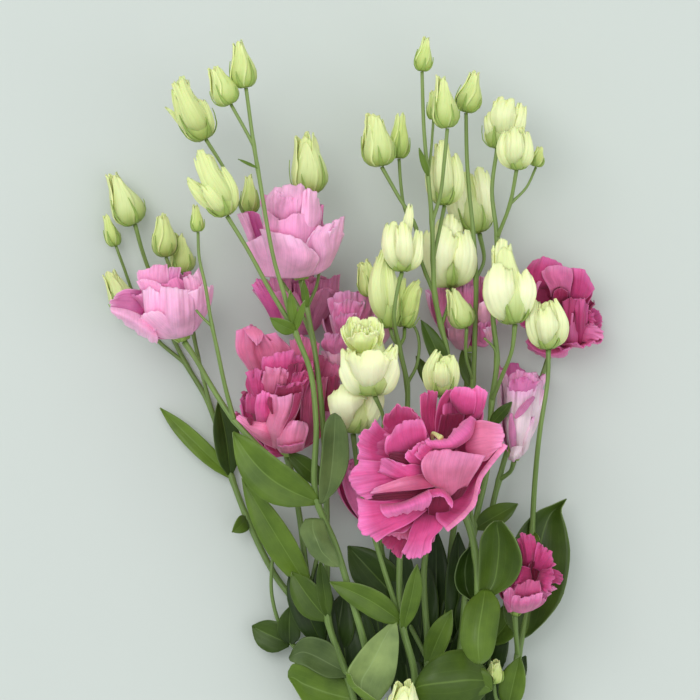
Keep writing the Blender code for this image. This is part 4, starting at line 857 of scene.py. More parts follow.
        net(3, (272, 414, 72), (272, 414, 73), (273, 414, 72), (268, 405, 73), (270, 404, 74),
            (272, 404, 73), (268, 398, 72), (270, 397, 73), (271, 398, 72), frill=0.2, tone=1.15, foot=0),
        net(3, (250, 425, 62), (251, 425, 64), (252, 425, 64), (247, 419, 63), (249, 417, 65),
            (253, 418, 65), frill=0.1, tone=1.25, foot=0),
        net(3, (280, 452, 44), (292, 453, 50), (303, 450, 46), (277, 446, 60), (290, 445, 66),
            (305, 442, 61), (278, 432, 66), (292, 429, 72), (308, 430, 64), (284, 424, 66), (294, 420, 72),
            (306, 423, 63), frill=0.4, folds=0.12, tone=0, foot=0.5, out=True),
        net(3, (281, 452, 58), (292, 453, 62), (302, 449, 60), (278, 446, 66), (291, 445, 70),
            (304, 442, 66), frill=0.2, tone=0.4, out=True),
    ],
    "bloom_05": [
        strip((360, 360, 28, 5), (367, 336, 36, 12), (371, 316, 38, 14), (372, 300, 37, 10), cup=-0.4,
              out=True),
        net(3, (336, 334, 36), (346, 336, 39), (358, 334, 36), (330, 310, 40), (347, 312, 45),
            (370, 312, 40), (329, 298, 40), (346, 291, 44), (370, 294, 40), frill=2.2, folds=0.35,
            tone=0.05),
        net(3, (335, 326, 44), (346, 328, 48), (358, 324, 44), (332, 314, 48), (345, 313, 52),
            (362, 311, 48), (334, 305, 49), (346, 300, 52), (365, 302, 49), frill=2.4, folds=0.4,
            tone=0.22),
        net(3, (338, 331, 46), (345, 333, 50), (353, 331, 46), (335, 323, 51), (344, 322, 55),
            (356, 321, 51), (337, 316, 52), (345, 313, 55), (357, 314, 52), frill=2, folds=0.3,
            tone=0.45),
        net(3, (328, 374, 31), (336, 375, 34), (343, 372, 32), (324, 362, 37), (334, 362, 41),
            (344, 360, 38), (321, 352, 38), (333, 349, 42), (345, 351, 39), frill=1, tone=0, out=True),
        net(3, (327, 353, 39), (335, 354, 42), (345, 351, 40), (321, 344, 43), (333, 345, 46),
            (348, 342, 43), (324, 336, 43), (335, 333, 45), (347, 337, 43), frill=2, folds=0.35,
            tone=0.12),
    ],
    "bloom_06": [
        strip((450, 478, 77, 4), (456, 450, 82, 16), (462, 422, 88, 20), (464, 397, 90, 17), cup=0.6,
              frill=0.6, tone=0.8),
        strip((440, 478, 77, 4), (418, 452, 83, 17), (403, 430, 89, 21), (399, 411, 91, 15), cup=0.6,
              frill=0.4, tone=0.8),
        strip((450, 480, 77, 4), (466, 463, 84, 14), (480, 447, 90, 18), (490, 437, 92, 14), cup=0.35,
              frill=0.8, tone=0.8),
        strip((440, 474, 77, 5), (446, 479, 81, 12), (450, 485, 84, 16), (455, 490, 87, 14), cup=0.5,
              frill=0.4, roll=-1, tone=1),
        strip((438, 488, 77, 4), (430, 506, 83, 9), (424, 524, 87, 12), (419, 543, 89, 11), cup=0.3,
              frill=1, tone=0.8),
        strip((437, 486, 77, 5), (414, 497, 84, 20), (392, 507, 90, 25), (374, 517, 92, 19), cup=0.35,
              frill=1, tone=0.6),
        strip((437, 476, 77, 4), (411, 468, 84, 18), (386, 464, 91, 26), (368, 464, 93, 24), cup=0.4,
              frill=1, tone=0.6),
        net(3, (420, 520, 82), (411, 512, 83), (400, 508, 84), (406, 546, 84), (397, 538, 87),
            (386, 530, 88), (401, 559, 85), (391, 551, 88), (379, 537, 89), frill=1.2, tone=1),
        net(3, (420, 520, 86), (408, 516, 88), (398, 514, 89), (410, 534, 88), (400, 531, 91),
            (388, 528, 91), (408, 540, 87), (398, 538, 90), (385, 534, 90), frill=0.8, tone=0.5, out=True),
        net(3, (426, 440, 84), (431, 440, 84), (436, 438, 84), (421, 416, 90), (428, 414, 87),
            (436, 414, 86), (420, 396, 95), (429, 391, 95), (438, 392, 94), frill=0.8, tone=0.7),
        net(3, (436, 441, 88), (446, 441, 88), (458, 433, 90), (438, 428, 90), (449, 428, 89),
            (463, 422, 93), (441, 415, 93), (451, 414, 92), (465, 413, 96), frill=0.2, tone=1.25, foot=0),
        net(3, (436, 440, 84), (446, 441, 84), (457, 434, 86), (435, 422, 87), (448, 423, 86),
            (470, 420, 92), (439, 402, 93), (455, 406, 90), (478, 410, 97), (447, 391, 97), (462, 388, 97),
            (482, 392, 100), frill=0.9, tone=0.75),
        net(3, (470, 422, 92), (474, 420, 94), (479, 418, 94), (472, 404, 97), (479, 404, 101),
            (484, 408, 98), (471, 389, 99), (479, 386, 102), (488, 393, 100), frill=0.6, tone=0),
        net(3, (451, 402, 95), (462, 414, 95), (474, 414, 97), (450, 394, 98), (463, 402, 100),
            (476, 404, 100), (455, 387, 98), (466, 387, 101), (477, 392, 101), frill=0.3, tone=0.1,
            foot=0.3),
        net(3, (400, 442, 86), (412, 441, 86), (424, 440, 86), (384, 426, 92), (402, 421, 91),
            (421, 425, 93), (384, 417, 96), (400, 405, 98), (417, 414, 97), frill=0.9, tone=0.6),
        net(3, (408, 462, 86), (402, 450, 86), (400, 440, 87), (382, 464, 93), (377, 447, 93),
            (384, 430, 94), (359, 460, 98), (359, 438, 99), (376, 420, 99), frill=1.1, tone=0),
        net(3, (470, 458, 98), (465, 446, 100), (470, 423, 101), (485, 461, 100), (484, 442, 103),
            (482, 420, 104), (497, 450, 101), (504, 440, 104), (502, 425, 103), frill=0.7, tone=0.1,
            foot=0.3, out=True),
        net(4, (438, 506, 92), (451, 493, 89), (464, 478, 90), (480, 458, 94), (436, 518, 95),
            (458, 505, 91), (474, 483, 92), (494, 453, 97), (447, 530, 98), (471, 505, 97), (480, 476, 98),
            (505, 444, 101), frill=0.3, tone=0.5, foot=0.2),
        net(4, (445, 529, 98), (470, 504, 98), (479, 475, 99), (503, 443, 102), (448, 532, 100),
            (474, 507, 100), (483, 478, 101), (508, 446, 103), frill=0.2, tone=0, foot=0.8, out=True),
        net(3, (446, 499, 94), (454, 500, 94), (462, 496, 94), (448, 494, 97), (457, 494, 97),
            (466, 490, 97), (452, 490, 99), (460, 489, 99), (468, 486, 98), frill=0.1, tone=1.4, foot=0),
        net(3, (418, 512, 90), (430, 510, 90), (442, 512, 90), (410, 531, 96), (425, 529, 99),
            (443, 527, 96), (407, 541, 98), (420, 541, 100), (432, 539, 98), (401, 553, 97), (415, 559, 98),
            (431, 551, 97), frill=1, tone=0),
        net(3, (432, 506, 92), (430, 499, 93), (424, 492, 92), (410, 523, 98), (397, 513, 100),
            (392, 500, 98), (389, 533, 100), (376, 523, 102), (370, 500, 99), (376, 541, 99),
            (359, 528, 101), (358, 497, 99), frill=1.1, folds=0.25, tone=0),
        net(3, (424, 482, 90), (420, 472, 90), (412, 462, 90), (394, 494, 98), (390, 475, 100),
            (392, 462, 97), (366, 500, 100), (349, 482, 102), (359, 459, 100), frill=1.2, folds=0.3,
            tone=0),
        net(3, (420, 482, 97), (423, 475, 99), (424, 466, 99), (400, 480, 102), (407, 473, 105),
            (412, 464, 105), (378, 472, 101), (384, 458, 104), (404, 466, 105), frill=0.7, tone=0.1),
        net(3, (408, 469, 101), (409, 462, 102), (408, 455, 102), (400, 466, 102), (400, 459, 103),
            (400, 453, 103), (390, 459, 102), (389, 456, 103), (390, 453, 103), frill=0.1, tone=1.35,
            foot=0),
        net(3, (408, 458, 92), (418, 458, 92), (428, 454, 93), (388, 455, 100), (408, 446, 104),
            (427, 441, 102), (385, 447, 103), (404, 431, 108), (426, 429, 105), (388, 436, 103),
            (404, 421, 106), (422, 420, 104), frill=0.6, folds=0.2, tone=0.15),
        net(3, (440, 496, 92), (444, 488, 94), (440, 482, 94), (412, 499, 100), (410, 494, 101),
            (414, 490, 101), (374, 499, 100), (372, 497, 101), (374, 495, 101), frill=0.3, tone=1.35),
        net(3, (440, 486, 99), (433, 479, 101), (424, 474, 100), (414, 490, 104), (406, 483, 108),
            (406, 477, 104), (388, 492, 103), (384, 489, 105), (386, 484, 104), (371, 494, 102),
            (371, 492, 103), (376, 488, 102), frill=0.3, tone=0, foot=0.3, out=True),
        net(3, (428, 514, 93), (438, 516, 92), (450, 510, 93), (428, 502, 98), (439, 504, 97),
            (450, 502, 98), (432, 494, 101), (441, 494, 101), (449, 498, 101), frill=0.2, tone=1.25,
            foot=0.05),
        net(3, (428, 490, 104), (441, 489, 105), (450, 496, 104), (430, 494, 109), (442, 493, 110),
            (453, 503, 108), (433, 497, 108), (443, 497, 109), (452, 509, 107), frill=0.3, tone=0,
            foot=0.5),
        net(3, (380, 504, 99), (402, 502, 99), (428, 490, 100), (380, 508, 106), (403, 504, 108),
            (430, 492, 109), (382, 513, 109), (405, 508, 111), (432, 498, 111), (387, 517, 106),
            (406, 512, 107), (430, 505, 107), (390, 517, 101), (406, 513, 101), (428, 508, 101), frill=0.4,
            folds=0.2, tone=0, foot=0.78),
        net(3, (420, 470, 98), (427, 463, 99), (434, 456, 100), (409, 462, 105), (417, 453, 107),
            (429, 446, 107), (404, 456, 106), (413, 447, 108), (425, 440, 108), frill=1, tone=0),
        net(3, (430, 466, 101), (433, 458, 102), (438, 452, 103), (420, 460, 107), (425, 451, 109),
            (432, 445, 109), (414, 455, 108), (421, 446, 110), (429, 439, 109), frill=1, tone=0.3),
        net(4, (430, 450, 104), (450, 450, 106), (470, 438, 106), (476, 420, 102), (427, 445, 110),
            (450, 445, 112), (468, 433, 112), (474, 418, 107), (425, 440, 109), (446, 440, 110),
            (462, 428, 110), (470, 416, 106), (428, 441, 100), (446, 438, 99), (458, 426, 99),
            (466, 420, 98), frill=0.5, tone=0, foot=0.75),
        net(3, (437, 489, 97), (450, 496, 96), (466, 488, 95), (425, 478, 105), (446, 484, 108),
            (473, 476, 101), (421, 464, 108), (446, 467, 113), (480, 465, 105), (427, 451, 107),
            (450, 450, 110), (485, 456, 104), frill=0.4, folds=0.2, tone=0.22, foot=0.5, out=True),
    ],
    "bloom_07": [
        strip((556, 326, 13, 5), (549, 303, 21, 16), (548, 285, 24, 22), (548, 266, 24, 16), cup=0.6,
              frill=0.8, tone=0.9),
        strip((560, 326, 13, 4), (571, 306, 21, 12), (578, 290, 24, 14), (582, 275, 24, 10), cup=0.4,
              frill=0.8, tone=0.9),
        net(5, (529, 337, 17), (537, 344, 17), (550, 348, 17), (562, 344, 17), (571, 337, 17),
            (526, 341, 21), (536, 350, 23), (551, 354, 24), (565, 350, 23), (574, 341, 21), (525, 341, 18),
            (534, 353, 19), (551, 358, 20), (566, 355, 19), (575, 343, 18), frill=0.5, tone=0.1, out=True),
        net(3, (538, 304, 20), (545, 305, 20), (552, 304, 20), (533, 294, 25), (543, 291, 23),
            (553, 294, 25), (538, 281, 28), (545, 280, 28), (553, 284, 28), frill=0.4, tone=1, foot=0),
        net(3, (536, 290, 24), (544, 288, 25), (556, 290, 24), (528, 282, 29), (540, 280, 31),
            (560, 282, 30), (526, 270, 29), (543, 268, 34), (566, 274, 30), (533, 261, 27), (546, 257, 31),
            (562, 264, 28), frill=0.3, tone=0.2),
        net(3, (533, 294, 28), (535, 294, 29), (537, 293, 29), (535, 287, 30), (537, 287, 32),
            (539, 286, 31), (538, 281, 30), (540, 281, 31), (542, 281, 30), frill=0.1, tone=0, foot=0.7,
            out=True),
        net(3, (551, 297, 27), (558, 289, 30), (570, 298, 27), (549, 288, 32), (560, 284, 35),
            (571, 288, 32), (543, 277, 34), (557, 274, 38), (573, 278, 33), (541, 269, 33), (557, 265, 37),
            (572, 269, 31), frill=0.25, tone=0.15, foot=0.15, out=True),
        net(3, (568, 304, 24), (574, 306, 25), (582, 302, 23), (571, 288, 30), (581, 290, 33),
            (589, 296, 29), (571, 268, 29), (584, 270, 32), (595, 289, 28), frill=0.4, tone=0, foot=0.25),
        net(3, (553, 304, 25), (560, 306, 26), (568, 304, 25), (553, 298, 30), (560, 298, 31),
            (568, 298, 30), (554, 291, 33), (561, 288, 34), (568, 292, 33), frill=0.1, tone=1, foot=0),
        net(3, (572, 345, 20), (576, 345, 21), (580, 343, 19), (563, 325, 28), (569, 325, 32),
            (576, 325, 28), (563, 303, 30), (570, 298, 34), (577, 301, 30), frill=1.8, folds=0.3, tone=0.9),
        net(3, (575, 344, 20), (580, 344, 21), (586, 340, 18), (574, 322, 29), (580, 322, 33),
            (587, 322, 28), (574, 303, 30), (581, 298, 34), (587, 304, 28), frill=1.8, folds=0.25,
            tone=0.4),
        net(3, (566, 349, 19), (572, 347, 22), (578, 345, 20), (565, 334, 27), (571, 331, 31),
            (578, 332, 27), (566, 320, 29), (572, 314, 32), (578, 318, 28), frill=1.4, tone=0.3, out=True),
        net(3, (577, 316, 22), (581, 322, 23), (583, 328, 21), (585, 311, 26), (588, 317, 28),
            (589, 324, 25), (591, 311, 26), (594, 317, 27), (592, 323, 24), frill=1.4, tone=0.3),
        net(3, (574, 328, 20), (577, 335, 21), (578, 342, 19), (584, 323, 25), (588, 332, 27),
            (585, 342, 22), (594, 323, 25), (603, 335, 24), (588, 345, 21), frill=1.6, tone=0, out=True),
    ],
    "bloom_08": [
        strip((470, 349, 17, 5), (472, 322, 24, 12), (474, 302, 26, 15), (476, 284, 26, 12), cup=0.4,
              frill=1, tone=0.3),
        net(3, (440, 332, 21), (442, 332, 22), (445, 332, 21), (437, 302, 26), (441, 302, 28),
            (446, 302, 26), (436, 281, 26), (440, 275, 28), (445, 281, 26), frill=0.4, tone=0),
        net(3, (462, 322, 24), (468, 322, 25), (475, 320, 24), (455, 293, 28), (464, 293, 32),
            (474, 293, 29), (459, 279, 28), (466, 275, 31), (473, 268, 28), frill=0.6, tone=0),
        net(3, (475, 345, 20), (484, 347, 22), (491, 343, 20), (470, 325, 28), (482, 325, 31),
            (495, 322, 27), (470, 300, 28), (483, 298, 31), (494, 303, 27), (473, 280, 27), (482, 276, 29),
            (491, 287, 26), frill=0.8, folds=0.2, tone=0.05),
        net(3, (458, 318, 30), (468, 320, 31), (476, 316, 30), (456, 300, 33), (466, 300, 35),
            (476, 298, 33), (457, 288, 32), (466, 283, 35), (476, 286, 32), frill=1.6, folds=0.3,
            tone=0.12),
        net(3, (480, 305, 31), (486, 305, 33), (492, 303, 31), (479, 294, 34), (486, 294, 35),
            (492, 293, 33), (482, 283, 34), (486, 282, 35), (490, 284, 33), frill=0.5, tone=1.02),
        net(3, (479, 324, 33), (485, 325, 36), (491, 322, 33), (478, 313, 41), (485, 311, 45),
            (493, 311, 40), (479, 304, 42), (485, 301, 46), (491, 305, 41), frill=0.7, tone=0, out=True),
        net(3, (479, 341, 27), (486, 344, 29), (491, 340, 27), (478, 331, 33), (485, 331, 36),
            (493, 329, 32), (478, 324, 35), (485, 321, 38), (493, 322, 34), frill=1, folds=0.3, tone=0.5),
        net(3, (486, 345, 29), (489, 344, 31), (492, 339, 29), (486, 336, 35), (490, 335, 38),
            (493, 331, 34), (484, 329, 37), (488, 327, 40), (493, 325, 36), frill=0.9, tone=0, out=True),
        net(3, (456, 348, 18), (462, 350, 19), (468, 348, 18), (449, 338, 27), (460, 339, 31),
            (471, 337, 27), (448, 328, 28), (460, 325, 31), (471, 327, 28), frill=0.6, tone=0.6, out=True),
    ],
    "bloom_09": [
        net(3, (512, 402, 34), (522, 404, 36), (532, 400, 34), (509, 388, 37), (522, 391, 40),
            (536, 388, 37), (508, 376, 37), (522, 370, 40), (538, 379, 37), frill=1.3, tone=0),
        net(3, (511, 398, 38), (522, 400, 41), (532, 397, 38), (509, 388, 41), (522, 388, 44),
            (536, 386, 41), (511, 380, 41), (523, 377, 44), (538, 382, 41), frill=1.4, tone=0.8),
        net(3, (520, 456, 29), (524, 454, 31), (528, 449, 29), (522, 440, 36), (527, 439, 38),
            (531, 436, 35), (524, 422, 37), (530, 420, 38), (534, 416, 35), frill=0.4, tone=0, out=True),
        net(3, (513, 458, 27), (518, 459, 31), (523, 455, 28), (507, 432, 36), (518, 434, 42),
            (529, 430, 37), (506, 411, 38), (519, 411, 44), (532, 408, 39), (506, 386, 38), (520, 392, 44),
            (538, 385, 39), frill=0.6, tone=0, out=True),
        net(3, (514, 417, 44), (515, 418, 44), (516, 419, 44), (518, 409, 45), (521, 411, 46),
            (524, 413, 45), (526, 401, 45), (529, 402, 46), (531, 404, 45), (533, 396, 43), (534, 397, 43),
            (535, 398, 43), frill=0.2, tone=0.45),
        net(3, (511, 448, 38), (513, 449, 39), (516, 446, 38), (509, 436, 42), (512, 436, 44),
            (516, 433, 43), (509, 424, 43), (512, 424, 45), (514, 422, 44), (510, 414, 43), (511, 413, 44),
            (512, 414, 43), frill=0.3, tone=0.45),
        net(3, (512, 447, 40), (517, 446, 42), (523, 446, 40), (510, 455, 40), (514, 456, 43),
            (520, 453, 40), (509, 459, 35), (514, 461, 37), (518, 457, 35), frill=0.4, tone=0, out=True),
    ],
    "bloom_10": [
        net(3, (523, 566, 57), (529, 567, 58), (535, 563, 57), (520, 549, 61), (527, 549, 64),
            (537, 549, 61), (517, 539, 61), (524, 533, 63), (534, 537, 61), frill=1.1, folds=0.3,
            tone=0.55),
        net(3, (533, 568, 59), (538, 570, 60), (543, 575, 59), (535, 556, 62), (544, 559, 65),
            (551, 568, 62), (538, 543, 62), (548, 549, 64), (556, 564, 62), frill=1.3, folds=0.3, tone=0.4),
        net(3, (540, 574, 57), (543, 580, 59), (546, 586, 57), (551, 569, 62), (553, 576, 64),
            (554, 583, 61), (559, 571, 62), (563, 578, 62), (560, 584, 60), frill=0.9, tone=0.5),
        net(3, (527, 588, 55), (534, 589, 55), (541, 586, 55), (527, 575, 57), (534, 575, 57),
            (541, 574, 57), (529, 564, 61), (535, 561, 61), (541, 565, 61), frill=0.4, tone=1.3, foot=0),
        net(3, (536, 583, 58), (538, 577, 60), (541, 569, 60), (543, 591, 65), (545, 580, 68),
            (548, 569, 65), (546, 594, 65), (553, 582, 67), (553, 567, 65), frill=1, folds=0.3,
            tone=0.35),
        net(3, (530, 588, 58), (532, 579, 60), (530, 568, 60), (521, 590, 63), (521, 578, 66),
            (524, 566, 63), (514, 589, 63), (516, 578, 65), (521, 566, 63), frill=0.8, tone=0.7),
        net(3, (508, 612, 52), (511, 612, 54), (514, 610, 54), (504, 602, 60), (509, 603, 64),
            (514, 602, 64), (504, 594, 62), (509, 587, 66), (515, 592, 66), frill=0.6, tone=0.2, out=True),
        net(3, (516, 604, 60), (527, 606, 62), (537, 602, 60), (514, 593, 67), (527, 594, 69),
            (541, 591, 67), (517, 585, 68), (529, 580, 70), (540, 581, 68), frill=0.9, tone=1, out=True),
        net(3, (512, 611, 54), (522, 613, 57), (533, 610, 54), (511, 604, 66), (524, 605, 71),
            (541, 602, 66), (514, 595, 69), (525, 597, 73), (543, 592, 69), frill=0.6, folds=0.35, tone=0.1,
            out=True),
    ],
    "bloom_11": [
        strip((376, 529, 20, 5), (362, 505, 27, 11), (355, 482, 29, 12), (352, 462, 28, 8), cup=-0.5,
              out=True),
    ],
}


def at(x, y, z):
    """World point for a place judged from above: higher places are drawn in to the middle."""
    near = z / EYE_HEIGHT
    return Vector((x + (EYE_X - x) * near, y + (EYE_Y - y) * near, z))


def spot(column, row, height):
    """Point seen at a square of the sheet laid over the bunch."""
    return np.array(at(SQUARE * (column - TIE_COLUMN), SQUARE * (TIE_ROW - row), height))


def slope(before, here, after):
    """Change per millimetre at a point, weighted by the lengths of the spans beside it."""
    if before is None:
        reach = math.dist(here[:3], after[:3])
        return [(b - a) / reach for a, b in zip(here, after)]
    if after is None:
        reach = math.dist(before[:3], here[:3])
        return [(b - a) / reach for a, b in zip(before, here)]
    back = math.dist(before[:3], here[:3])
    ahead = math.dist(here[:3], after[:3])
    return [
        ((c - b) / ahead * back + (b - a) / back * ahead) / (back + ahead)
        for a, b, c in zip(before, here, after)
    ]


def smooth_path(points, step):
    """Curve through the points with their radii, sampled about every step."""
    ends = [None] + list(points) + [None]
    path = []
    for before, here, after, beyond in zip(ends, points, points[1:], ends[3:]):
        reach = math.dist(here[:3], after[:3])
        leave = slope(before, here, after)
        arrive = slope(here, after, beyond)
        parts = max(1, round(reach / step))
        for part in range(parts):
            t = part / parts
            path.append(tuple(
                a * (2 * t ** 3 - 3 * t * t + 1) + b * (3 * t * t - 2 * t ** 3)
                + reach * (m * (t ** 3 - 2 * t * t + t) + n * (t ** 3 - t * t))
                for a, b, m, n in zip(here, after, leave, arrive)
            ))
    path.append(tuple(points[-1]))
    return path


def spread(values, count):
    """Smooth run of count points through a few."""
    values = np.asarray(values, dtype=float)
    before = np.concatenate((2 * values[:1] - values[1:2], values, 2 * values[-1:] - values[-2:-1]))
    place = np.linspace(0, len(values) - 1 - 1e-9, count)
    start = place.astype(int)
    share = (place - start).reshape((-1,) + (1,) * (values.ndim - 1))
    a, b, c, d = (before[start + step] for step in range(4))
    return 0.5 * (2 * b + (c - a) * share + (2 * a - 5 * b + 4 * c - d) * share ** 2
                  + (3 * b - a - 3 * c + d) * share ** 3)


def smooth(low, high, value):
    """Rises from 0 at low to 1 at high without a kink."""
    share = np.clip((value - low) / (high - low), 0.0, 1.0)
    return share * share * (3 - 2 * share)


def spans(rows, columns):
    """Shares of the way along a sheet, from 0 to 1, and across it, from -1 to 1."""
    return np.linspace(0, 1, rows)[:, None], np.linspace(-1, 1, columns)[None, :]


def unit(vectors):
    """Vectors of the same directions and a length of one."""
    return vectors / np.maximum(np.linalg.norm(vectors, axis=-1, keepdims=True), 1e-9)


def normals(grid):
    """Vectors square to a sheet, on the side that across x along points to."""
    return np.cross(np.gradient(grid, axis=1), np.gradient(grid, axis=0))


def girth(profile, reach):
    """Radius of a profile of (radius, height) pairs at some shares of its height."""
    radii, heights = zip(*profile)
    return np.interp(reach, heights, radii)


def axes_of(axis):
    """Three unit vectors square to each other: the axis, and two that turn round it."""
    axis = Vector(axis).normalized()
    up = Vector((0, 0, 1))
    if abs(axis.z) > 0.9:
        up = Vector((0, 1, 0))
    first = up.cross(axis).normalized()
    return np.array(axis), np.array(first), np.array(axis.cross(first))


def around(axes, turn):
    """Directions square to the first axis, at some turns round it."""
    return axes[1] * np.cos(turn)[..., None] + axes[2] * np.sin(turn)[..., None]


def ring_turns(sides):
    """Even turns round a ring, in radians."""
    return np.arange(sides) * (2 * math.pi / sides)


def ring_path(path, sides):
    """Rings of points round a path of (x, y, z, radius)."""
    centres = np.array([point[:3] for point in path])
    side = np.array((1.0, 0.0, 0.0))
    rings = []
    for centre, ahead, (*_, radius) in zip(centres, unit(np.gradient(centres, axis=0)), path):
        side = unit(side - ahead * side.dot(ahead))
        rings.append(centre + radius * around((ahead, side, np.cross(ahead, side)), ring_turns(sides)))
    return np.array(rings)


def lathe_rings(base, axes, profile, sides):
    """Rings of points round an axis through (radius, height) pairs."""
    ring = around(axes, ring_turns(sides))
    return np.array([base + axes[0] * height + radius * ring for radius, height in profile])


def wall(rings, sides, lengths):
    """Faces between rings of points and their marks; lengths are the marks from ring to ring."""
    faces = []
    marks = []
    for ring in range(len(lengths) - 1):
        here = ring * sides
        ahead = (ring + 1) % rings * sides
        for turn in range(sides):
            after = (turn + 1) % sides
            faces.append((here + turn, here + after, ahead + after, ahead + turn))
            left = turn / sides
            right = (turn + 1) / sides
            marks += [(left, lengths[ring]), (right, lengths[ring])]
            marks += [(right, lengths[ring + 1]), (left, lengths[ring + 1])]
    return faces, marks


class Shape:
    """Points and faces of one object, gathered piece by piece."""

    def __init__(self):
        self.points = []
        self.faces = []
        self.marks = []
        self.slots = []
        self.tones = []
        self.count = 0

    def add(self, points, faces, marks, slots, tone):
        """Points in millimetres; marks holds an (across, along) pair for each corner of each face."""
        self.points.append(points)
        self.faces += [tuple(int(i) + self.count for i in face) for face in faces]
        self.marks.append(np.asarray(marks, dtype=float).reshape(-1, 2))
        self.slots += slots
        self.tones.append(np.full(len(points), float(tone)))
        self.count += len(points)

    def sheet(self, grid, thickness, front, back, tone, foot=0.0):
        """Blade of even thickness; front is the slot of the side that across x along points to."""
        rows, columns = grid.shape[:2]
        grid[..., 2] = np.maximum(grid[..., 2], LOWEST)
        half_way = unit(normals(grid)) * (0.5 * thickness)
        index = np.arange(rows * columns).reshape(rows, columns)
        a = index[:-1, :-1].ravel()
        b = index[:-1, 1:].ravel()
        c = index[1:, 1:].ravel()
        d = index[1:, :-1].ravel()
        half = rows * columns
        upper = np.stack((a, b, c, d), axis=1)
        lower = np.stack((a, d, c, b), axis=1)
        rim = np.concatenate((index[0, :], index[1:, -1], index[-1, -2::-1], index[-2:0:-1, 0]))
        following = np.roll(rim, -1)
        edge = np.stack((following, rim, rim + half, following + half), axis=1)
        u, v = np.meshgrid(np.linspace(0, 1, columns), np.linspace(foot, 1, rows))
        flat = np.stack((u.ravel(), v.ravel()), axis=1)
        points = np.concatenate(((grid + half_way).reshape(-1, 3), (grid - half_way).reshape(-1, 3)))
        faces = np.concatenate((upper, lower + half, edge))
        slots = [front] * len(upper) + [back] * (len(lower) + len(edge))
        self.add(points, faces, flat[faces % half], slots, tone)

    def turned(self, rings, slot, tone):
        """Closed body through rings of points, one after the other, with flat ends."""
        count, sides = rings.shape[:2]
        steps = np.linalg.norm(np.diff(rings.mean(axis=1), axis=0), axis=1)
        length = np.concatenate(([0.0], np.cumsum(steps))) * MARKS_PER_MM
        faces, marks = wall(count, sides, length)
        last = (count - 1) * sides
        faces += [tuple(range(sides - 1, -1, -1)), tuple(range(last, last + sides))]
        marks += [(0.5, 0.0)] * sides + [(0.5, length[-1])] * sides
        self.add(rings.reshape(-1, 3), faces, marks, [slot] * len(faces), tone)

    def make(self, name, materials, node, slot):
        """The object itself, which stands for a solid of the part."""
        mesh = bpy.data.meshes.new(name)
        points = np.concatenate(self.points) * MM
        mesh.from_pydata(points.tolist(), [], self.faces)
        layer = mesh.uv_layers.new(name="marks")
        layer.data.foreach_set("uv", np.concatenate(self.marks).ravel())
        tones = mesh.attributes.new("tone", "FLOAT", "POINT")
        tones.data.foreach_set("value", np.concatenate(self.tones))
        for material in materials:
            mesh.materials.append(material)
        mesh.polygons.foreach_set("material_index", self.slots)
        mesh.polygons.foreach_set("use_smooth", [True] * len(self.faces))
        mesh.update()
        piece = bpy.data.objects.new(name, mesh)
        bpy.context.scene.collection.objects.link(piece)
        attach(piece, "root")
        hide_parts(node)


def twig(shape, points, sides, tone, joints):
    """Stem through places judged from above, a little thicker at its joints; its end is noted as a seat."""
    path = [
        (*at(x, y, z), radius * (1 - SLIMMER * smooth(SLIM_FROM, SLIM_TO, y)))
        for x, y, z, radius in points
    ]
    last = Vector(path[-1][:3])
    STEM_ENDS.append((last, (last - Vector(path[-2][:3])).normalized(), path[-1][3]))
    swollen = []
    for x, y, z, radius in smooth_path(path, STEM_STEP):
        near = min((math.dist((x, y, z), joint) for joint in joints), default=math.inf)
        swollen.append((x, y, z, radius * (1 + JOINT_SWELL * math.exp(-(near / JOINT_REACH) ** 2))))
    shape.turned(ring_path(swollen, sides), ONLY, tone)


def seat(base, axis):
    """Start of a bud or bloom, just clear of the stem end that carries it."""
    here = at(*base)
    end, along, radius = min(STEM_ENDS, key=lambda one: (one[0] - here).length)
    tilt = math.sin(axis.angle(along))
    return end + axis * (SEAT_GAP + SEAT_TILT * radius * tilt)


def leaf(shape, base, tip, half_width, roll, arch, bow=0.0, tone=None):
    """Pointed oval blade with a sunken midrib, two side veins to each half and a gently waved edge."""
    start = np.array(at(*base))
    along = np.array(at(*tip)) - start
    length = np.linalg.norm(along)
    along = along / length
    up = np.array((0.0, 0.0, 1.0))
    up = unit(up - along * up.dot(along))
    turn = math.radians(roll)
    side = np.cross(along, up) * math.cos(turn) + up * math.sin(turn)
    face = np.cross(side, along)
    seed = base[0] * 0.7 + base[1] * 0.3
    u, v = spans(SMALL_LEAF_ROWS, SMALL_LEAF_COLUMNS)
    if half_width > SMALL_LEAF:
        u, v = spans(LEAF_ROWS, LEAF_COLUMNS)
    widths = np.interp(u, LEAF_STATIONS, LEAF_WIDTHS) * half_width
    aside = np.abs(v)
    lift = 0.28 * widths * aside ** 1.25 - 0.10 * widths * smooth(0.7, 1.0, aside)
    ripple = np.sin(2.6 * math.pi * u + seed + 1.5 * np.sign(v)) * smooth(0.55, 1.0, aside)
    lift = lift + ripple * min(1.0, 0.06 * half_width)
    groove = 0.35 * np.exp(-(v / 0.07) ** 2)
    for vein in (0.34, 0.66):
        groove = groove + 0.06 * np.exp(-((aside - vein) / 0.045) ** 2)
    lift = lift - groove * min(1.0, half_width / 8.0)
    swing = np.sin(math.pi * u)[..., None]
    middle = start + along * (length * u[..., None]) + (face * arch + side * bow) * swing
    grid = middle + side * (widths * v)[..., None] + face * lift[..., None]
    if tone is None:
        tone = 0.55 + 0.25 * math.sin(seed * 1.7)
    shape.sheet(grid, LEAF_THICK, LEAF_TOP, LEAF_UNDER, tone)


def net_grid(lines, rows, columns):
    """Smooth sheet through a net of given points, turned to face up, and its unit normals."""
    few = np.array([[spot(*place) for place in line] for line in lines])
    grid = spread(np.stack([spread(line, columns) for line in few]), rows)
    normal = normals(grid)
    if normal[..., 2].mean() < 0:
        grid = grid[:, ::-1]
        normal = -normal[:, ::-1]
    return grid, unit(normal)


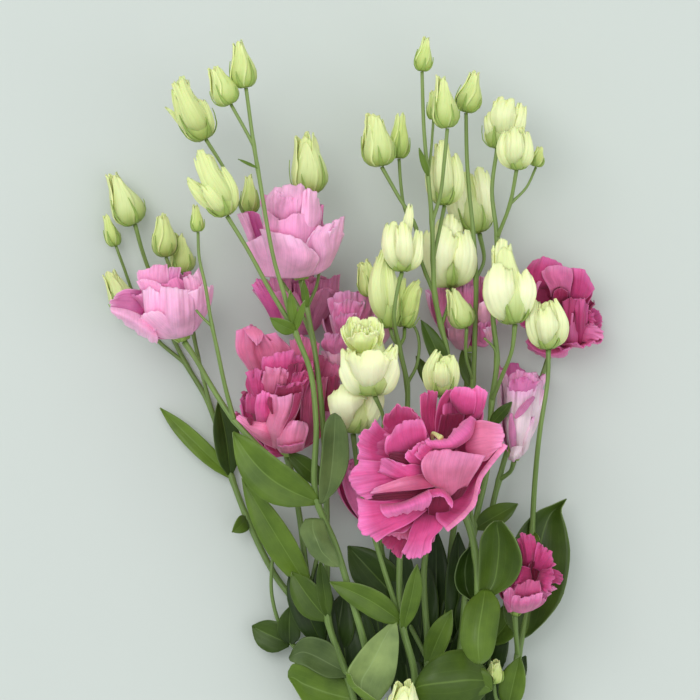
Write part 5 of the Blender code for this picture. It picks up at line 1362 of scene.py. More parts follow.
def net_leaf(shape, blade):
    """Leaf through a small net of given points, with a sunken midrib."""
    grid, normal = net_grid(blade["net"], LEAF_ROWS, LEAF_NET_COLUMNS)
    u, v = spans(LEAF_ROWS, LEAF_NET_COLUMNS)
    first_column = blade["net"][0][0][0]
    ripple = 0.5 * np.sin(2.6 * math.pi * u + first_column + 1.5 * np.sign(v)) * smooth(0.55, 1.0, np.abs(v))
    push = ripple * np.sin(math.pi * u) - 0.3 * np.exp(-(v / 0.07) ** 2)
    faces = (LEAF_UNDER, LEAF_TOP) if blade.get("out") else (LEAF_TOP, LEAF_UNDER)
    shape.sheet(grid + normal * push[..., None], LEAF_THICK, *faces, blade["tone"])


def ring_petal(base, axes, azimuth, share, length, half_width, low, high, start, bend, lean, ruffle, waves,
               phase, curl):
    """Petal that leaves the axis at low degrees and ends at high degrees, with a ruffled rim."""
    u, v = spans(RING_ROWS, RING_COLUMNS)
    fine = np.linspace(0, 1, LINE_PARTS + 1)
    angle = np.radians(low + (high - low) * fine ** bend + curl * smooth(0.70, 1.0, fine))
    step = length / LINE_PARTS
    out_line = start[0] + np.concatenate(([0.0], np.cumsum(np.sin(angle[1:])) * step))
    up_line = start[1] + np.concatenate(([0.0], np.cumsum(np.cos(angle[1:])) * step))
    teeth = 0.012 * np.sin(15 * v + 3 * phase) + 0.010 * np.sin(37 * v + phase)
    teeth = teeth + 0.03 * np.sin(5.5 * v + 2 * phase)
    reach = u * (1 - 0.12 * u * np.abs(v) ** 3 + teeth * u * u)
    out = np.interp(reach, fine, out_line)
    height = np.interp(reach, fine, up_line)
    foot = 0.8 * math.pi * start[0] / max(share, 4)
    width = half_width * np.sin(0.5 * math.pi * np.clip(u / 0.66, 0, 1)) ** 1.15
    width = np.maximum(foot, width * (1 - 0.06 * smooth(0.78, 1.0, u)))
    wrap = np.maximum(np.maximum(out, width / 1.35), 0.5)
    turn = math.radians(azimuth) + v * width / wrap
    out = out + lean * v * np.sqrt(u)
    grid = base + axes[0] * height[..., None] + around(axes, turn) * out[..., None]
    edge = smooth(0.30, 1.0, u) * (0.35 + 0.65 * smooth(0.45, 1.0, np.maximum(u, np.abs(v))))
    wave = np.sin(waves * math.pi * v + phase + 1.4 * u)
    wave = wave + 0.45 * np.sin(2.3 * waves * math.pi * v + 1.7 * phase - 2.0 * u)
    wave = wave + 0.30 * np.sin(5.0 * u + 2.1 * phase)
    wave = wave + 0.35 * np.sin(8.3 * math.pi * v + 2.3 * phase) * smooth(0.72, 1.0, u)
    return grid + unit(normals(grid)) * (ruffle * edge * wave)[..., None]


def strip_petal(points, cup=0.4, frill=0.8, phase=0.0, folds=0.0, roll=1.0, ragged=1.0):
    """Petal along a given line; cup above 0 lifts its sides to the camera, roll turns its rim back."""
    path = [(*spot(column, row, height), SQUARE * half) for column, row, height, half in points]
    fine = np.array(smooth_path(path, STRIP_STEP))
    line = fine[:, :3]
    share = np.concatenate(([0.0], np.cumsum(np.linalg.norm(np.diff(line, axis=0), axis=1))))
    length = share[-1]
    share = share / length
    ahead = unit(np.gradient(line, axis=0))
    up = np.array((0.0, 0.0, 1.0)) + 0.25 * ahead[-1] * np.array((1.0, 1.0, 0.0))
    face = unit(up - ahead * (ahead @ up)[:, None])
    u, v = spans(STRIP_ROWS, STRIP_COLUMNS)
    teeth = 0.012 * np.sin(15 * v + 3 * phase) + 0.010 * np.sin(37 * v + phase)
    teeth = teeth + 0.035 * np.sin(5.5 * v + 2 * phase)
    reach = u * (1 - 0.13 * u * np.abs(v) ** 3.2 + ragged * teeth * u * u)
    middle, facing, across = (
        np.stack([np.interp(reach, share, part) for part in values.T], axis=2)
        for values in (line, face, np.cross(ahead, face))
    )
    width = np.interp(u, share, fine[:, 3]) * (1 + 0.06 * np.sin(6 * u + phase))
    width = width * (1 + 0.25 * smooth(0.72, 0.97, u))
    bow = abs(cup) + 1e-3
    flat = width * np.sin(bow * v) / bow
    lift = math.copysign(1.0, cup) * width * (1 - np.cos(bow * v)) / bow
    rim = smooth(0.30, 1.0, u) * (0.22 + 0.78 * smooth(0.45, 1.0, np.maximum(u * u, np.abs(v) ** 1.5)))
    wave = np.sin((2.4 + 0.6 * math.sin(3 * phase)) * math.pi * v + phase + 1.2 * u)
    wave = wave + 0.65 * np.sin(5.3 * math.pi * v + 1.7 * phase - 2.0 * u)
    wave = wave + 0.40 * np.sin(9.7 * math.pi * v + 2.3 * phase) * smooth(0.72, 1.0, u)
    side_wave = np.sin(0.38 * length * u + 2.1 * phase + 1.3 * np.sign(v))
    wave = wave + 0.55 * side_wave * smooth(0.35, 1.0, np.abs(v))
    crease = np.cos(2.9 * math.pi * v + phase + 1.4 * u)
    crease = crease + 0.5 * np.cos(6.7 * math.pi * v + 2.1 * phase - 2.2 * u)
    crease = folds * crease * smooth(0.05, 0.5, u)
    turned_back = roll * smooth(0.80, 1.0, u) ** 2 * (1 + 0.5 * np.sin(4 * v + phase))
    lift = lift + frill * rim * wave + crease - turned_back
    return middle + across * flat[..., None] + facing * lift[..., None]


def net_petal(lines, frill=0.8, phase=0.0, folds=0.13):
    """Petal through a small net of given points, with a frilled rim."""
    grid, normal = net_grid(lines, NET_ROWS, NET_COLUMNS)
    u, v = spans(NET_ROWS, NET_COLUMNS)
    size = np.linalg.norm(grid[-1][-1] - grid[-1][0]) / 12.0
    rim = smooth(0.35, 1.0, u) * (0.25 + 0.75 * smooth(0.60, 1.0, np.maximum(u, np.abs(v) ** 2)))
    wave = np.sin((1.8 + 0.8 * size) * math.pi * v + phase + 1.3 * u)
    wave = wave + 0.6 * np.sin((3.6 + 1.4 * size) * math.pi * v + 1.7 * phase - 2.0 * u)
    wave = wave + 0.4 * np.sin((6.0 + 3.0 * size) * math.pi * v + 2.3 * phase) * smooth(0.75, 1.0, u)
    crease = np.cos(3.7 * math.pi * v + phase + 0.8 * u) + 0.6 * np.cos(7.9 * math.pi * v + 2.1 * phase - u)
    teeth = 0.24 * np.sin(15 * v + 3 * phase) + 0.16 * np.sin(31 * v + phase)
    teeth = teeth + 0.45 * np.sin(6 * v + 2 * phase)
    push = 0.8 * frill * rim * wave + folds * crease * smooth(0.05, 0.6, u)
    slide = min(1.0, frill) * teeth * u ** 4
    return grid + normal * push[..., None] + unit(np.gradient(grid, axis=0)) * slide[..., None]


def sepal(shape, slot, base, axes, azimuth, profile, radius, length, half_width, stand):
    """Narrow green sepal that hugs a bud or bloom and lifts a little at its tip."""
    u, v = spans(SEPAL_ROWS, SEPAL_COLUMNS)
    out = girth(profile, u * length[0] / length[1]) * radius + 0.8 + stand * smooth(0.45, 1.0, u) ** 1.5
    width = half_width * (1 - 0.93 * u ** 0.9)
    middle = math.radians(azimuth)
    grid = base + axes[0] * (length[0] * u)[..., None]
    grid = grid + around(axes, middle) * (out - 0.12 * width * v * v)[..., None]
    grid = grid + around(axes, middle + 0.5 * math.pi) * (width * v)[..., None]
    shape.sheet(grid, SEPAL_THICK, slot, slot, 0.5)


def make_stem(letter, stem):
    """One stem with its branches, and its leaves."""
    x, z = TIE_PLACES[letter]
    first = stem["trunk"][0]
    fan = (x + FAN_SHARE * (first[0] - x), FAN_START, z + FAN_SHARE * (first[2] - z), TRUNK_RADIUS)
    inside = [(x, y, z, TRUNK_RADIUS) for y in INSIDE_TIE]
    trunk = [CUT_ENDS[letter] + (CUT_RADIUS,)] + inside + [fan] + stem["trunk"]
    joints = [tuple(at(*points[0][:3])) for points in stem["branches"]]
    joints += [tuple(at(*one[0])) for one in stem["leaves"]]
    stalks = Shape()
    twig(stalks, trunk, STEM_SIDES, 0.35, joints)
    for points in stem["branches"]:
        twig(stalks, points, TWIG_SIDES, 0.65, joints)
    stalks.make("stalks_" + letter, [STALK], "stem_" + letter, "stem_green")
    leaves = Shape()
    for one in stem["leaves"]:
        leaf(leaves, *one)
    # Low leaves at tone 0: painted shade in the foot's deep gaps.
    for one in LOW_LEAVES.get(letter, []):
        leaf(leaves, *one, tone=0.0)
    for one in LEAF_NETS.get(letter, []):
        net_leaf(leaves, one)
    leaves.make("leaves_" + letter, [LEAF_FACE, LEAF_BACK], "stem_" + letter, "stem_green")


# Outlines of a bud as (radius, height) pairs, in shares of its belly radius and its length.
CLOSED_PROFILE = [
    (0.30, 0.0), (0.66, 0.05), (0.93, 0.15), (1.0, 0.28), (0.90, 0.42), (0.68, 0.58), (0.46, 0.73),
    (0.32, 0.86), (0.24, 0.94), (0.26, 1.0),
]
OPEN_PROFILE = [
    (0.28, 0.0), (0.62, 0.04), (0.92, 0.14), (1.0, 0.27), (0.94, 0.42), (0.78, 0.58), (0.62, 0.74),
    (0.52, 0.88), (0.48, 1.0),
]
CORE_PROFILE = [
    (0.30, 0.0), (0.55, 0.10), (0.72, 0.30), (0.62, 0.52), (0.42, 0.72), (0.24, 0.86), (0.10, 0.95),
    (0.04, 1.0),
]

# How a bloom's sepals stand: (radius, height) pairs in shares of the core and of the second length, of which
# they cover the first, then their half width and how far their tips lift.
CALYX_PROFILE = [(0.5, 0.0), (0.9, 0.1), (1.1, 0.3), (1.5, 0.6), (2.0, 1.0)]
CALYX_REACH = (15.0, 30.0)
CALYX_WIDTH = 1.5
CALYX_STAND = 1.5


class Bud:
    """Place, size and tone of one bud, and the shape that its petals are added to."""

    def __init__(self, base, tip, radius, tone):
        end = at(*tip)
        start = seat(base, (end - at(*base)).normalized())
        axis = end - start
        self.start = np.array(start)
        self.axes = axes_of(axis)
        self.length = axis.length
        self.radius = radius
        self.tone = min(1.0, max(0.0, (radius - 5.0) / 5.0)) if tone is None else tone
        self.seed = base[0] * 0.37 + base[1] * 0.11
        self.spin = 57 * self.seed
        self.shape = Shape()

    def wrap(self, profile, wide, tall, azimuth, half_angle, twist, lean, droop, flare, ruffle, phase, tone):
        """Petal wrapped round the bud; one edge lies over the next petal and the other under.

        Wide, lean and ruffle are shares of the bud's radius, tall of its length and tone of its tone.
        """
        radius = wide * self.radius
        phase = self.seed + phase
        u, v = spans(BUD_ROWS, BUD_COLUMNS)
        reach = u * (1 - droop * u * np.abs(v) ** 1.8)
        out = girth(profile, reach) * radius + lean * self.radius * v * smooth(0.0, 0.25, u) + 0.35
        fold = np.cos(2.4 * math.pi * v + phase + u) + 0.5 * np.cos(4.9 * math.pi * v + 2 * phase - 2.5 * u)
        out = out + min(0.035 * radius, 0.20) * fold * smooth(0.10, 0.6, u)
        out = out + flare * smooth(0.72, 1.0, u) * radius
        rim = np.sin(2.6 * math.pi * v + phase) + 0.5 * np.sin(6.1 * math.pi * v + 2 * phase)
        out = np.maximum(out + ruffle * self.radius * smooth(0.6, 1.0, u) * rim, 0.25)
        narrow = 1 - 0.30 * smooth(0.55, 1.0, u)
        turn = math.radians(azimuth) + v * math.radians(half_angle) * narrow + math.radians(twist) * reach
        grid = self.start + self.axes[0] * (tall * self.length * reach)[..., None]
        grid = grid + around(self.axes, turn) * out[..., None]
        self.shape.sheet(grid, BUD_PETAL_THICK, SKIN, SKIN, tone * self.tone)


def bud_foot(bud):
    """Green swelling at the end of the stalk."""
    radius = bud.radius
    foot = [
        (0.9, 0.0), (1.5, 0.5), (0.32 * radius + 0.8, 1.4), (0.5 * radius + 0.5, 2.6), (0.4 * radius, 3.6),
    ]
    bud.shape.turned(lathe_rings(bud.start, bud.axes, foot, FOOT_SIDES), GREEN, 0.5)


def drawn_petals(bud, petals):
    """Three plain petals inside outer ones that were placed one by one."""
    for index in range(3):
        bud.wrap(OPEN_PROFILE, 0.72, 0.9, 120 * index + 50, 75, 50, 0.05, 0.12, 0.0, 0.05, 2.1 * index, 0.5)
    for index, petal in enumerate(petals):
        look = {"roll": 0.3, **chosen(petal, ("cup", "frill", "roll"))}
        grid = strip_petal(petal["at"], phase=1.7 * index + bud.seed, folds=0.22, ragged=1.8, **look)
        skin = petal.get("skin", SKIN)
        bud.shape.sheet(grid, BUD_PETAL_THICK, skin, skin, bud.tone)


def folded_petals(bud):
    """Five outer petals of uneven length, folded over three inner ones."""
    for index in range(3):
        tall = 1.0 - 0.04 * index
        azimuth = 120 * index + 50 + bud.spin
        bud.wrap(OPEN_PROFILE, 0.72, tall, azimuth, 75, 70, 0.05, 0.10, 0.0, 0.05, 2.1 * index, 0.5)
    for index in range(5):
        tall = 0.97 - 0.17 * (index * 2 % 5) / 4
        flare = -0.02 + 0.14 * max(0.0, math.sin(2.2 * bud.seed + 1.3 * index))
        azimuth = 72 * index + 20 + bud.spin
        bud.wrap(OPEN_PROFILE, 0.94, tall, azimuth, 49, 48, 0.085, 0.30, flare, 0.04, 1.7 * index, 1.0)


def closed_petals(bud):
    """Four petals of uneven length, twisted into a point."""
    for index in range(4):
        tall = 1.0 - 0.07 * (index * 3 % 4) / 3
        azimuth = 90 * index + 10 + bud.spin
        bud.wrap(CLOSED_PROFILE, 0.93, tall, azimuth, 60, 80, 0.09, 0.12, 0.06, 0.05, index, 0.6)


def bud_core(bud):
    """Three petals that close the middle of a bud."""
    for index in range(3):
        azimuth = 120 * index + bud.spin
        bud.wrap(CORE_PROFILE, 0.72, 0.86, azimuth, 78, 110, 0.03, 0.1, 0.0, 0.02, index, 0.4)


def bud_sepals(bud, profile, snug, low):
    """Green sepals round a bud; snug is how close they stand to it and low how far they reach up it."""
    for index in range(SEPALS):
        reach = snug * low * bud.length * (0.46 + 0.14 * math.sin(bud.seed + 2.1 * index))
        sepal(bud.shape, GREEN, bud.start, bud.axes, 35 + 72 * index + bud.spin, profile, snug * bud.radius,
              (reach, bud.length), 0.8 + 0.05 * bud.radius, 0.07 * bud.radius)


def make_bud(name, base, tip, radius, kind, tone=None):
    """One bud of any kind, from its foot to its sepals."""
    bud = Bud(base, tip, radius, tone)
    bud_foot(bud)
    if kind == CROWNED:
        drawn_petals(bud, BUD_PETALS[name])
        bud_sepals(bud, OPEN_PROFILE, 0.86, 0.5)
    elif name in BUD_PETALS:
        drawn_petals(bud, BUD_PETALS[name])
        bud_core(bud)
        bud_sepals(bud, OPEN_PROFILE, 0.86, 1.0)
    elif kind == FOLDED:
        folded_petals(bud)
        bud_core(bud)
        bud_sepals(bud, OPEN_PROFILE, 1.0, 1.0)
    else:
        closed_petals(bud)
        bud_core(bud)
        bud_sepals(bud, CLOSED_PROFILE, 1.0, 1.0)
    bud.shape.make(name + "_petals", [BUD_SKIN, SEPAL, BUD_FRILL], name, "bud_green")


def ring_petals(shape, bloom, start, axes, spin):
    """Rings of like petals in the heart of a bloom."""
    last = max(1, len(bloom["rows"]) - 1)
    for row, (count, first, length, half_width, low, high, bend, ruffle, curl) in enumerate(bloom["rows"]):
        root = (max(0.80 - 0.14 * row, 0.25) * bloom["core"], 2.4 + 1.3 * row)
        for index in range(count):
            azimuth = first + 360 * index / count
            vary = 1 + 0.05 * math.sin(2.3 * index + row)
            phase = 1.9 * index + 2.7 * row + spin
            grid = ring_petal(start, axes, azimuth, count, length * vary, half_width, low, high, root, bend,
                              bloom.get("lean", 2.0), ruffle, 2.0 + 0.6 * math.sin(phase), phase,
                              curl + 8 * math.sin(3.1 * index + row))
            # Inner rows take more of the inner colour: partly deeper petal colour, partly painted shade deep
            # in the bloom.
            shape.sheet(grid, PETAL_THICK, OUTER, INNER, row / last)


def placed_petals(shape, petals, spin):
    """Petals of a bloom that were placed one by one."""
    for index, petal in enumerate(petals):
        look = chosen(petal, ("cup", "frill", "folds", "roll"))
        foot = 0.0
        if "net" in petal:
            grid = net_petal(petal["net"], phase=1.7 * index + spin, **look)
            foot = petal.get("foot", NET_FOOT)
        else:
            grid = strip_petal(petal["at"], phase=1.7 * index + spin, **look)
        faces = (OUTER, INNER) if petal.get("out") else (INNER, OUTER)
        shape.sheet(grid, PETAL_THICK, *faces, petal.get("tone", 0.3), foot)


def make_bloom(name, bloom):
    """One open flower, from the cup that holds its petals to its sepals and pistil."""
    axes = axes_of(bloom["axis"])
    start = np.array(seat(bloom["base"], Vector(bloom["axis"]).normalized()))
    core = bloom["core"]
    spin = bloom.get("phase", 0.0)
    shape = Shape()
    cup = [(0.5 * core, 0.0), (0.78 * core, 1.0), (0.95 * core, 2.6), (0.8 * core, 5.0), (0.3 * core, 8.0)]
    shape.turned(lathe_rings(start, axes, cup, CUP_SIDES), CALYX, 0.4)
    ring_petals(shape, bloom, start, axes, spin)
    placed_petals(shape, BLOOM_PETALS[name], spin)
    for index in range(SEPALS):
        azimuth = 20 + 360 * index / SEPALS
        sepal(shape, CALYX, start, axes, azimuth, CALYX_PROFILE, core, CALYX_REACH, CALYX_WIDTH, CALYX_STAND)
    if "pistil" in bloom:
        path = [(*spot(*place), radius) for place, radius in zip(bloom["pistil"], PISTIL_RADII)]
        shape.turned(ring_path(smooth_path(path, PISTIL_STEP), PISTIL_SIDES), PISTIL, 0.5)
    front, back = PALETTES[bloom["palette"]]
    shape.make(name + "_petals", [front, back, SEPAL, STIGMA], name, bloom["slot"])


def make_tie():
    """Plain ribbed band round the bundle."""
    right = TIE_HALF_WIDTH - TIE_CORNER
    top = TIE_TOP - TIE_CORNER
    outline = []
    low = TIE_CORNER
    for x, z, begin in ((right, top, 0), (-right, top, 90), (-right, low, 180), (right, low, 270)):
        for part in range(CORNER_PARTS + 1):
            angle = math.radians(begin + 90 * part / CORNER_PARTS)
            outline.append((x, z, math.cos(angle), math.sin(angle)))
    section = []
    for part in range(TIE_RIBS * RIB_PARTS + 1):
        share = part / (TIE_RIBS * RIB_PARTS)
        bulge = RIB_RISE * abs(math.sin(math.pi * TIE_RIBS * share))
        section.append((TIE_LENGTH * (share - 0.5), bulge - RIB_RISE))
    loop = section + [(y, -TIE_THICK) for y, _ in reversed(section)]
    points = [
        (x + dx * (TIE_CORNER + rise), y, z + dz * (TIE_CORNER + rise))
        for x, z, dx, dz in outline for y, rise in loop
    ]
    faces, marks = wall(len(outline), len(loop), np.linspace(0, 1, len(outline) + 1))
    shape = Shape()
    shape.add(np.array(points), faces, marks, [ONLY] * len(faces), 0.5)
    shape.make("tie_band", [BAND], "tie", "tie_band")


def make_material(name, roughness, **settings):
    """Material with constant values on the shader's own sockets."""
    material = bpy.data.materials.new(name)
    material.use_nodes = True
    shader = material.node_tree.nodes["Principled BSDF"]
    shader.inputs["Roughness"].default_value = roughness
    for key, value in settings.items():
        shader.inputs[key.replace("_", " ")].default_value = value
    return material


class Nodes:
    """Short calls for the nodes that the materials share."""

    def __init__(self, material):
        self.tree = material.node_tree
        self.shader = self.tree.nodes["Principled BSDF"]
        marks = self.tree.nodes.new("ShaderNodeUVMap")
        marks.uv_map = "marks"
        split = self.tree.nodes.new("ShaderNodeSeparateXYZ")
        self.link(marks.outputs["UV"], split.inputs[0])
        self.marks = marks.outputs["UV"]
        self.across = split.outputs["X"]
        self.along = split.outputs["Y"]
        place = self.tree.nodes.new("ShaderNodeTexCoord")
        self.place = place.outputs["Object"]
        tone = self.tree.nodes.new("ShaderNodeAttribute")
        tone.attribute_name = "tone"
        self.tone = tone.outputs["Fac"]

    def link(self, source, target):
        self.tree.links.new(source, target)

    def feed(self, sockets, values):
        """Gives each socket a number, a colour or the output of another node."""
        for socket, value in zip(sockets, values):
            if isinstance(value, (int, float)):
                socket.default_value = value
            elif isinstance(value, tuple):
                socket.default_value = value + (1.0,)
            else:
                self.link(value, socket)

    def noise(self, source, scale, stretch=(1.0, 1.0, 1.0), detail=3.0):
        """Soft grain, drawn out along an axis where its stretch is small."""
        mapping = self.tree.nodes.new("ShaderNodeMapping")
        mapping.inputs["Scale"].default_value = stretch
        self.link(source, mapping.inputs["Vector"])
        noise = self.tree.nodes.new("ShaderNodeTexNoise")
        noise.inputs["Scale"].default_value = scale
        noise.inputs["Detail"].default_value = detail
        self.link(mapping.outputs["Vector"], noise.inputs["Vector"])
        return noise.outputs["Fac"]

    def ramp(self, source, stops):
        """Greys or colours at places along a value."""
        ramp = self.tree.nodes.new("ShaderNodeValToRGB")
        elements = ramp.color_ramp.elements
        while len(elements) < len(stops):
            elements.new(0.5)
        for element, (place, colour) in zip(elements, stops):
            element.position = place
            if isinstance(colour, (int, float)):
                colour = (colour, colour, colour)
            element.color = tuple(colour) + (1.0,)
        self.link(source, ramp.inputs["Fac"])
        return ramp.outputs["Color"]

    def mix(self, fac, a, b, mode="MIX"):
        """Colour a with a share fac of colour b."""
        mix = self.tree.nodes.new("ShaderNodeMix")
        mix.data_type = "RGBA"
        mix.blend_type = mode
        self.feed((mix.inputs[0], mix.inputs[6], mix.inputs[7]), (fac, a, b))
        return mix.outputs[2]

    def shade(self, base, light):
        """Base made darker or lighter by a grey."""
        return self.mix(1.0, base, light, "MULTIPLY")

    def math(self, operation, a, b):
        node = self.tree.nodes.new("ShaderNodeMath")
        node.operation = operation
        self.feed(node.inputs, (a, b))
        return node.outputs[0]

    def finish(self, colour, relief=None, strength=0.0, depth=0.0):
        """Sends the colour and, where there is one, the relief to the shader."""
        self.link(colour, self.shader.inputs["Base Color"])
        if relief is None:
            return
        bump = self.tree.nodes.new("ShaderNodeBump")
        bump.inputs["Strength"].default_value = strength
        bump.inputs["Distance"].default_value = depth
        self.link(relief, bump.inputs["Height"])
        self.link(bump.outputs["Normal"], self.shader.inputs["Normal"])


def petal_material(name, throat, body, rim, inner, inner_share, deep=0.10):
    """Petal: throat to rim along its length, deeper in the inner rows, paler along the very edge; the dark
    throat and inner rows are partly the flower's own deeper colour and partly painted shade, tones above 1
    are painted shade, and the pale rim and edges are a painted highlight.
    """
    material = make_material(name, 0.6, Sheen_Weight=0.15, Subsurface_Weight=0.10, Subsurface_Scale=0.004,
                             Specular_IOR_Level=0.3)
    nodes = Nodes(material)
    # Dark throat low on the petal: partly its own deeper colour, partly painted shade at the petal's foot.
    base = nodes.ramp(nodes.along, [(deep, throat), (deep + 0.28, body), (0.78, body), (0.97, rim)])
    # Inner rows darken by tone: partly deeper petal colour, partly painted shade inside the bloom.
    base = nodes.mix(nodes.math("MULTIPLY", nodes.tone, inner_share), base, inner)
    # The pale rim stop above and these pale side edges are a painted highlight along the petal's edges.
    edges = nodes.ramp(nodes.across, [(0.0, 0.7), (0.06, 0.0), (0.94, 0.0), (1.0, 0.7)])
    base = nodes.mix(edges, base, rim)
    veins = nodes.noise(nodes.marks, 1.0, (40.0, 3.0, 1.0), 4.0)
    base = nodes.shade(base, nodes.ramp(veins, [(0.30, 0.88), (0.52, 1.0), (0.72, 1.05)]))
    # Tones above 1 darken the petal: painted shade in the bloom's throats, creases and gaps.
    painted_recess_shade = nodes.math("SUBTRACT", nodes.tone, 1.0)
    base = nodes.shade(base, nodes.ramp(painted_recess_shade, [(0.0, 1.0), (0.5, 0.22)]))
    blotch = nodes.noise(nodes.place, 75.0, detail=4.0)
    base = nodes.shade(base, nodes.ramp(blotch, [(0.34, 0.78), (0.52, 0.98), (0.68, 1.10)]))
    nodes.finish(base, veins, 0.18, 0.0004)
    return material


# Pale lines across a leaf, edge to midrib: place and half width in shares of the leaf, and strength.
LEAF_LINES = [(0.0, 0.045, 0.45), (0.175, 0.010, 0.13), (0.33, 0.010, 0.16), (0.5, 0.025, 0.75)]


def leaf_line_stops():
    """Ramp stops of the lines across a whole leaf; its second half mirrors the first."""
    near = [
        (place + step * half, strength if step == 0 else 0.0)
        for place, half, strength in LEAF_LINES for step in (-1, 0, 1)
    ][1:-1]
    return near + [(1 - place, strength) for place, strength in reversed(near[:-1])]


def leaf_material(name, deep, pale, rib, roughness, coat):
    """Leaf: pale midrib, side veins that follow the edge, and soft mottling, partly uneven green and partly
    painted sheen.
    """
    material = make_material(name, roughness, Coat_Weight=coat, Coat_Roughness=0.3, Specular_IOR_Level=0.22)
    nodes = Nodes(material)
    # Mottling that lightens and darkens the green: partly the leaf's uneven colour, partly painted sheen of
    # glossy patches.
    mottle_and_sheen = nodes.ramp(nodes.noise(nodes.place, 60.0, detail=4.0), [(0.32, 0.0), (0.68, 1.0)])
    base = nodes.mix(nodes.tone, deep, pale)
    base = nodes.shade(base, nodes.mix(mottle_and_sheen, (0.66, 0.70, 0.66), (1.24, 1.20, 1.14)))
    clear = nodes.math("ADD", 0.40, nodes.math("MULTIPLY", nodes.tone, 0.60))
    lines = nodes.math("MULTIPLY", nodes.ramp(nodes.across, leaf_line_stops()), clear)
    fine = nodes.noise(nodes.marks, 1.0, (38.0, 9.0, 1.0), 5.0)
    nodes.finish(nodes.mix(lines, base, rib), fine, 0.25, 0.0004)
    return material


def stalk_material():
    """Stem: streaked green, darker low down and yellower towards the heads."""
    material = make_material("stem_skin", 0.5, Coat_Weight=0.1, Coat_Roughness=0.4)
    nodes = Nodes(material)
    split = nodes.tree.nodes.new("ShaderNodeSeparateXYZ")
    nodes.link(nodes.place, split.inputs[0])
    height = nodes.math("MULTIPLY", split.outputs["Y"], 2.2)
    greens = [(0.0, (0.12, 0.20, 0.045)), (0.45, (0.16, 0.26, 0.055)), (0.9, (0.22, 0.32, 0.08))]
    base = nodes.ramp(height, greens)
    streaks = nodes.noise(nodes.marks, 1.0, (22.0, 6.0, 1.0), 4.0)
    base = nodes.shade(base, nodes.ramp(streaks, [(0.30, 0.64), (0.55, 1.0), (0.75, 1.30)]))
    nodes.finish(base, streaks, 0.3, 0.0004)
    return material


def bud_material(name, foot, body, cream, tip):
    """Bud petal: green at the foot, paler above, cream on the larger buds, with green streaks."""
    material = make_material(name, 0.5, Subsurface_Weight=0.12, Subsurface_Scale=0.004,
                             Specular_IOR_Level=0.35)
    nodes = Nodes(material)
    fair = nodes.mix(nodes.tone, body, cream)
    base = nodes.mix(nodes.ramp(nodes.along, [(0.0, 1.0), (0.42, 0.20), (0.64, 0.0)]), fair, foot)
    base = nodes.mix(nodes.ramp(nodes.along, [(0.70, 0.0), (1.0, 0.8)]), base, tip)
    edges = nodes.ramp(nodes.across, [(0.0, 0.75), (0.10, 0.0), (0.90, 0.0), (1.0, 0.75)])
    base = nodes.mix(edges, base, tip)
    streaks = nodes.noise(nodes.marks, 1.0, (26.0, 2.4, 1.0), 4.0)
    lines = nodes.ramp(streaks, [(0.28, 0.42), (0.44, 0.0)])
    fewer = nodes.math("SUBTRACT", 1.0, nodes.math("MULTIPLY", nodes.tone, 0.7))
    base = nodes.mix(nodes.math("MULTIPLY", lines, fewer), base, foot)
    nodes.finish(base, streaks, 0.2, 0.0004)
    return material


def sepal_material():
    """Sepal: mid green with soft streaks."""
    material = make_material("sepal_green", 0.5)
    nodes = Nodes(material)
    streaks = nodes.noise(nodes.marks, 1.0, (14.0, 5.0, 1.0), 3.0)
    base = nodes.ramp(streaks, [(0.3, (0.20, 0.33, 0.05)), (0.7, (0.38, 0.52, 0.12))])
    nodes.finish(base, streaks, 0.3, 0.0003)
    return material


def stigma_material():
    """Pistil: grainy yellow."""
    material = make_material("stigma", 0.6)
    nodes = Nodes(material)
    grain = nodes.noise(nodes.place, 900.0)
    base = nodes.ramp(grain, [(0.3, (0.55, 0.55, 0.16)), (0.7, (0.80, 0.78, 0.40))])
    nodes.finish(base, grain, 0.4, 0.0003)
    return material


def band_material():
    """Tie: flat woven fibres that run round the bundle."""
    material = make_material("tie_fibre", 0.85)
    nodes = Nodes(material)
    fibres = nodes.noise(nodes.marks, 1.0, (60.0, 12.0, 1.0), 5.0)
    stops = [(0.30, (0.34, 0.26, 0.15)), (0.55, (0.62, 0.52, 0.34)), (0.8, (0.75, 0.66, 0.46))]
    nodes.finish(nodes.ramp(fibres, stops), fibres, 0.6, 0.0006)
    return material


def floor_material():
    """Floor: plain and pale, with a hardly visible grain."""
    material = make_material("floor_pale", 0.9)
    nodes = Nodes(material)
    grain = nodes.noise(nodes.place, 40.0)
    nodes.finish(nodes.ramp(grain, [(0.0, FLOOR_COLOUR), (1.0, tuple(1.01 * c for c in FLOOR_COLOUR))]))
    return material


def make_floor():
    """Square floor just under the bunch."""
    mesh = bpy.data.meshes.new("floor")
    square = ((-1, -1), (1, -1), (1, 1), (-1, 1))
    corners = [(FLOOR_REACH * x, FLOOR_REACH * y, FLOOR_DROP) for x, y in square]
    mesh.from_pydata(corners, [], [(0, 1, 2, 3)])
    mesh.materials.append(floor_material())
    mesh.uv_layers.new(name="marks")
    floor = bpy.data.objects.new("floor", mesh)
    bpy.context.scene.collection.objects.link(floor)


def make_light(name, place, target, size, power):
    """Round white lamp that shines at a point."""
    light = bpy.data.lights.new(name, "AREA")
    light.shape = "DISK"
    light.size = size
    light.energy = power
    lamp = bpy.data.objects.new(name, light)
    lamp.location = place
    lamp.rotation_euler = (Vector(target) - Vector(place)).to_track_quat("-Z", "Y").to_euler()
    bpy.context.scene.collection.objects.link(lamp)


def make_camera():
    """Straight above the bunch, with the heads at the top of the picture."""
    camera = bpy.data.cameras.new("camera")
    camera.sensor_width = SENSOR_WIDTH
    camera.lens = SENSOR_WIDTH * EYE_HEIGHT / VIEW_WIDTH
    camera.clip_end = CLIP_END
    eye = bpy.data.objects.new("camera", camera)
    eye.location = (EYE_X * MM, EYE_Y * MM, EYE_HEIGHT * MM)
    bpy.context.scene.collection.objects.link(eye)
    bpy.context.scene.camera = eye


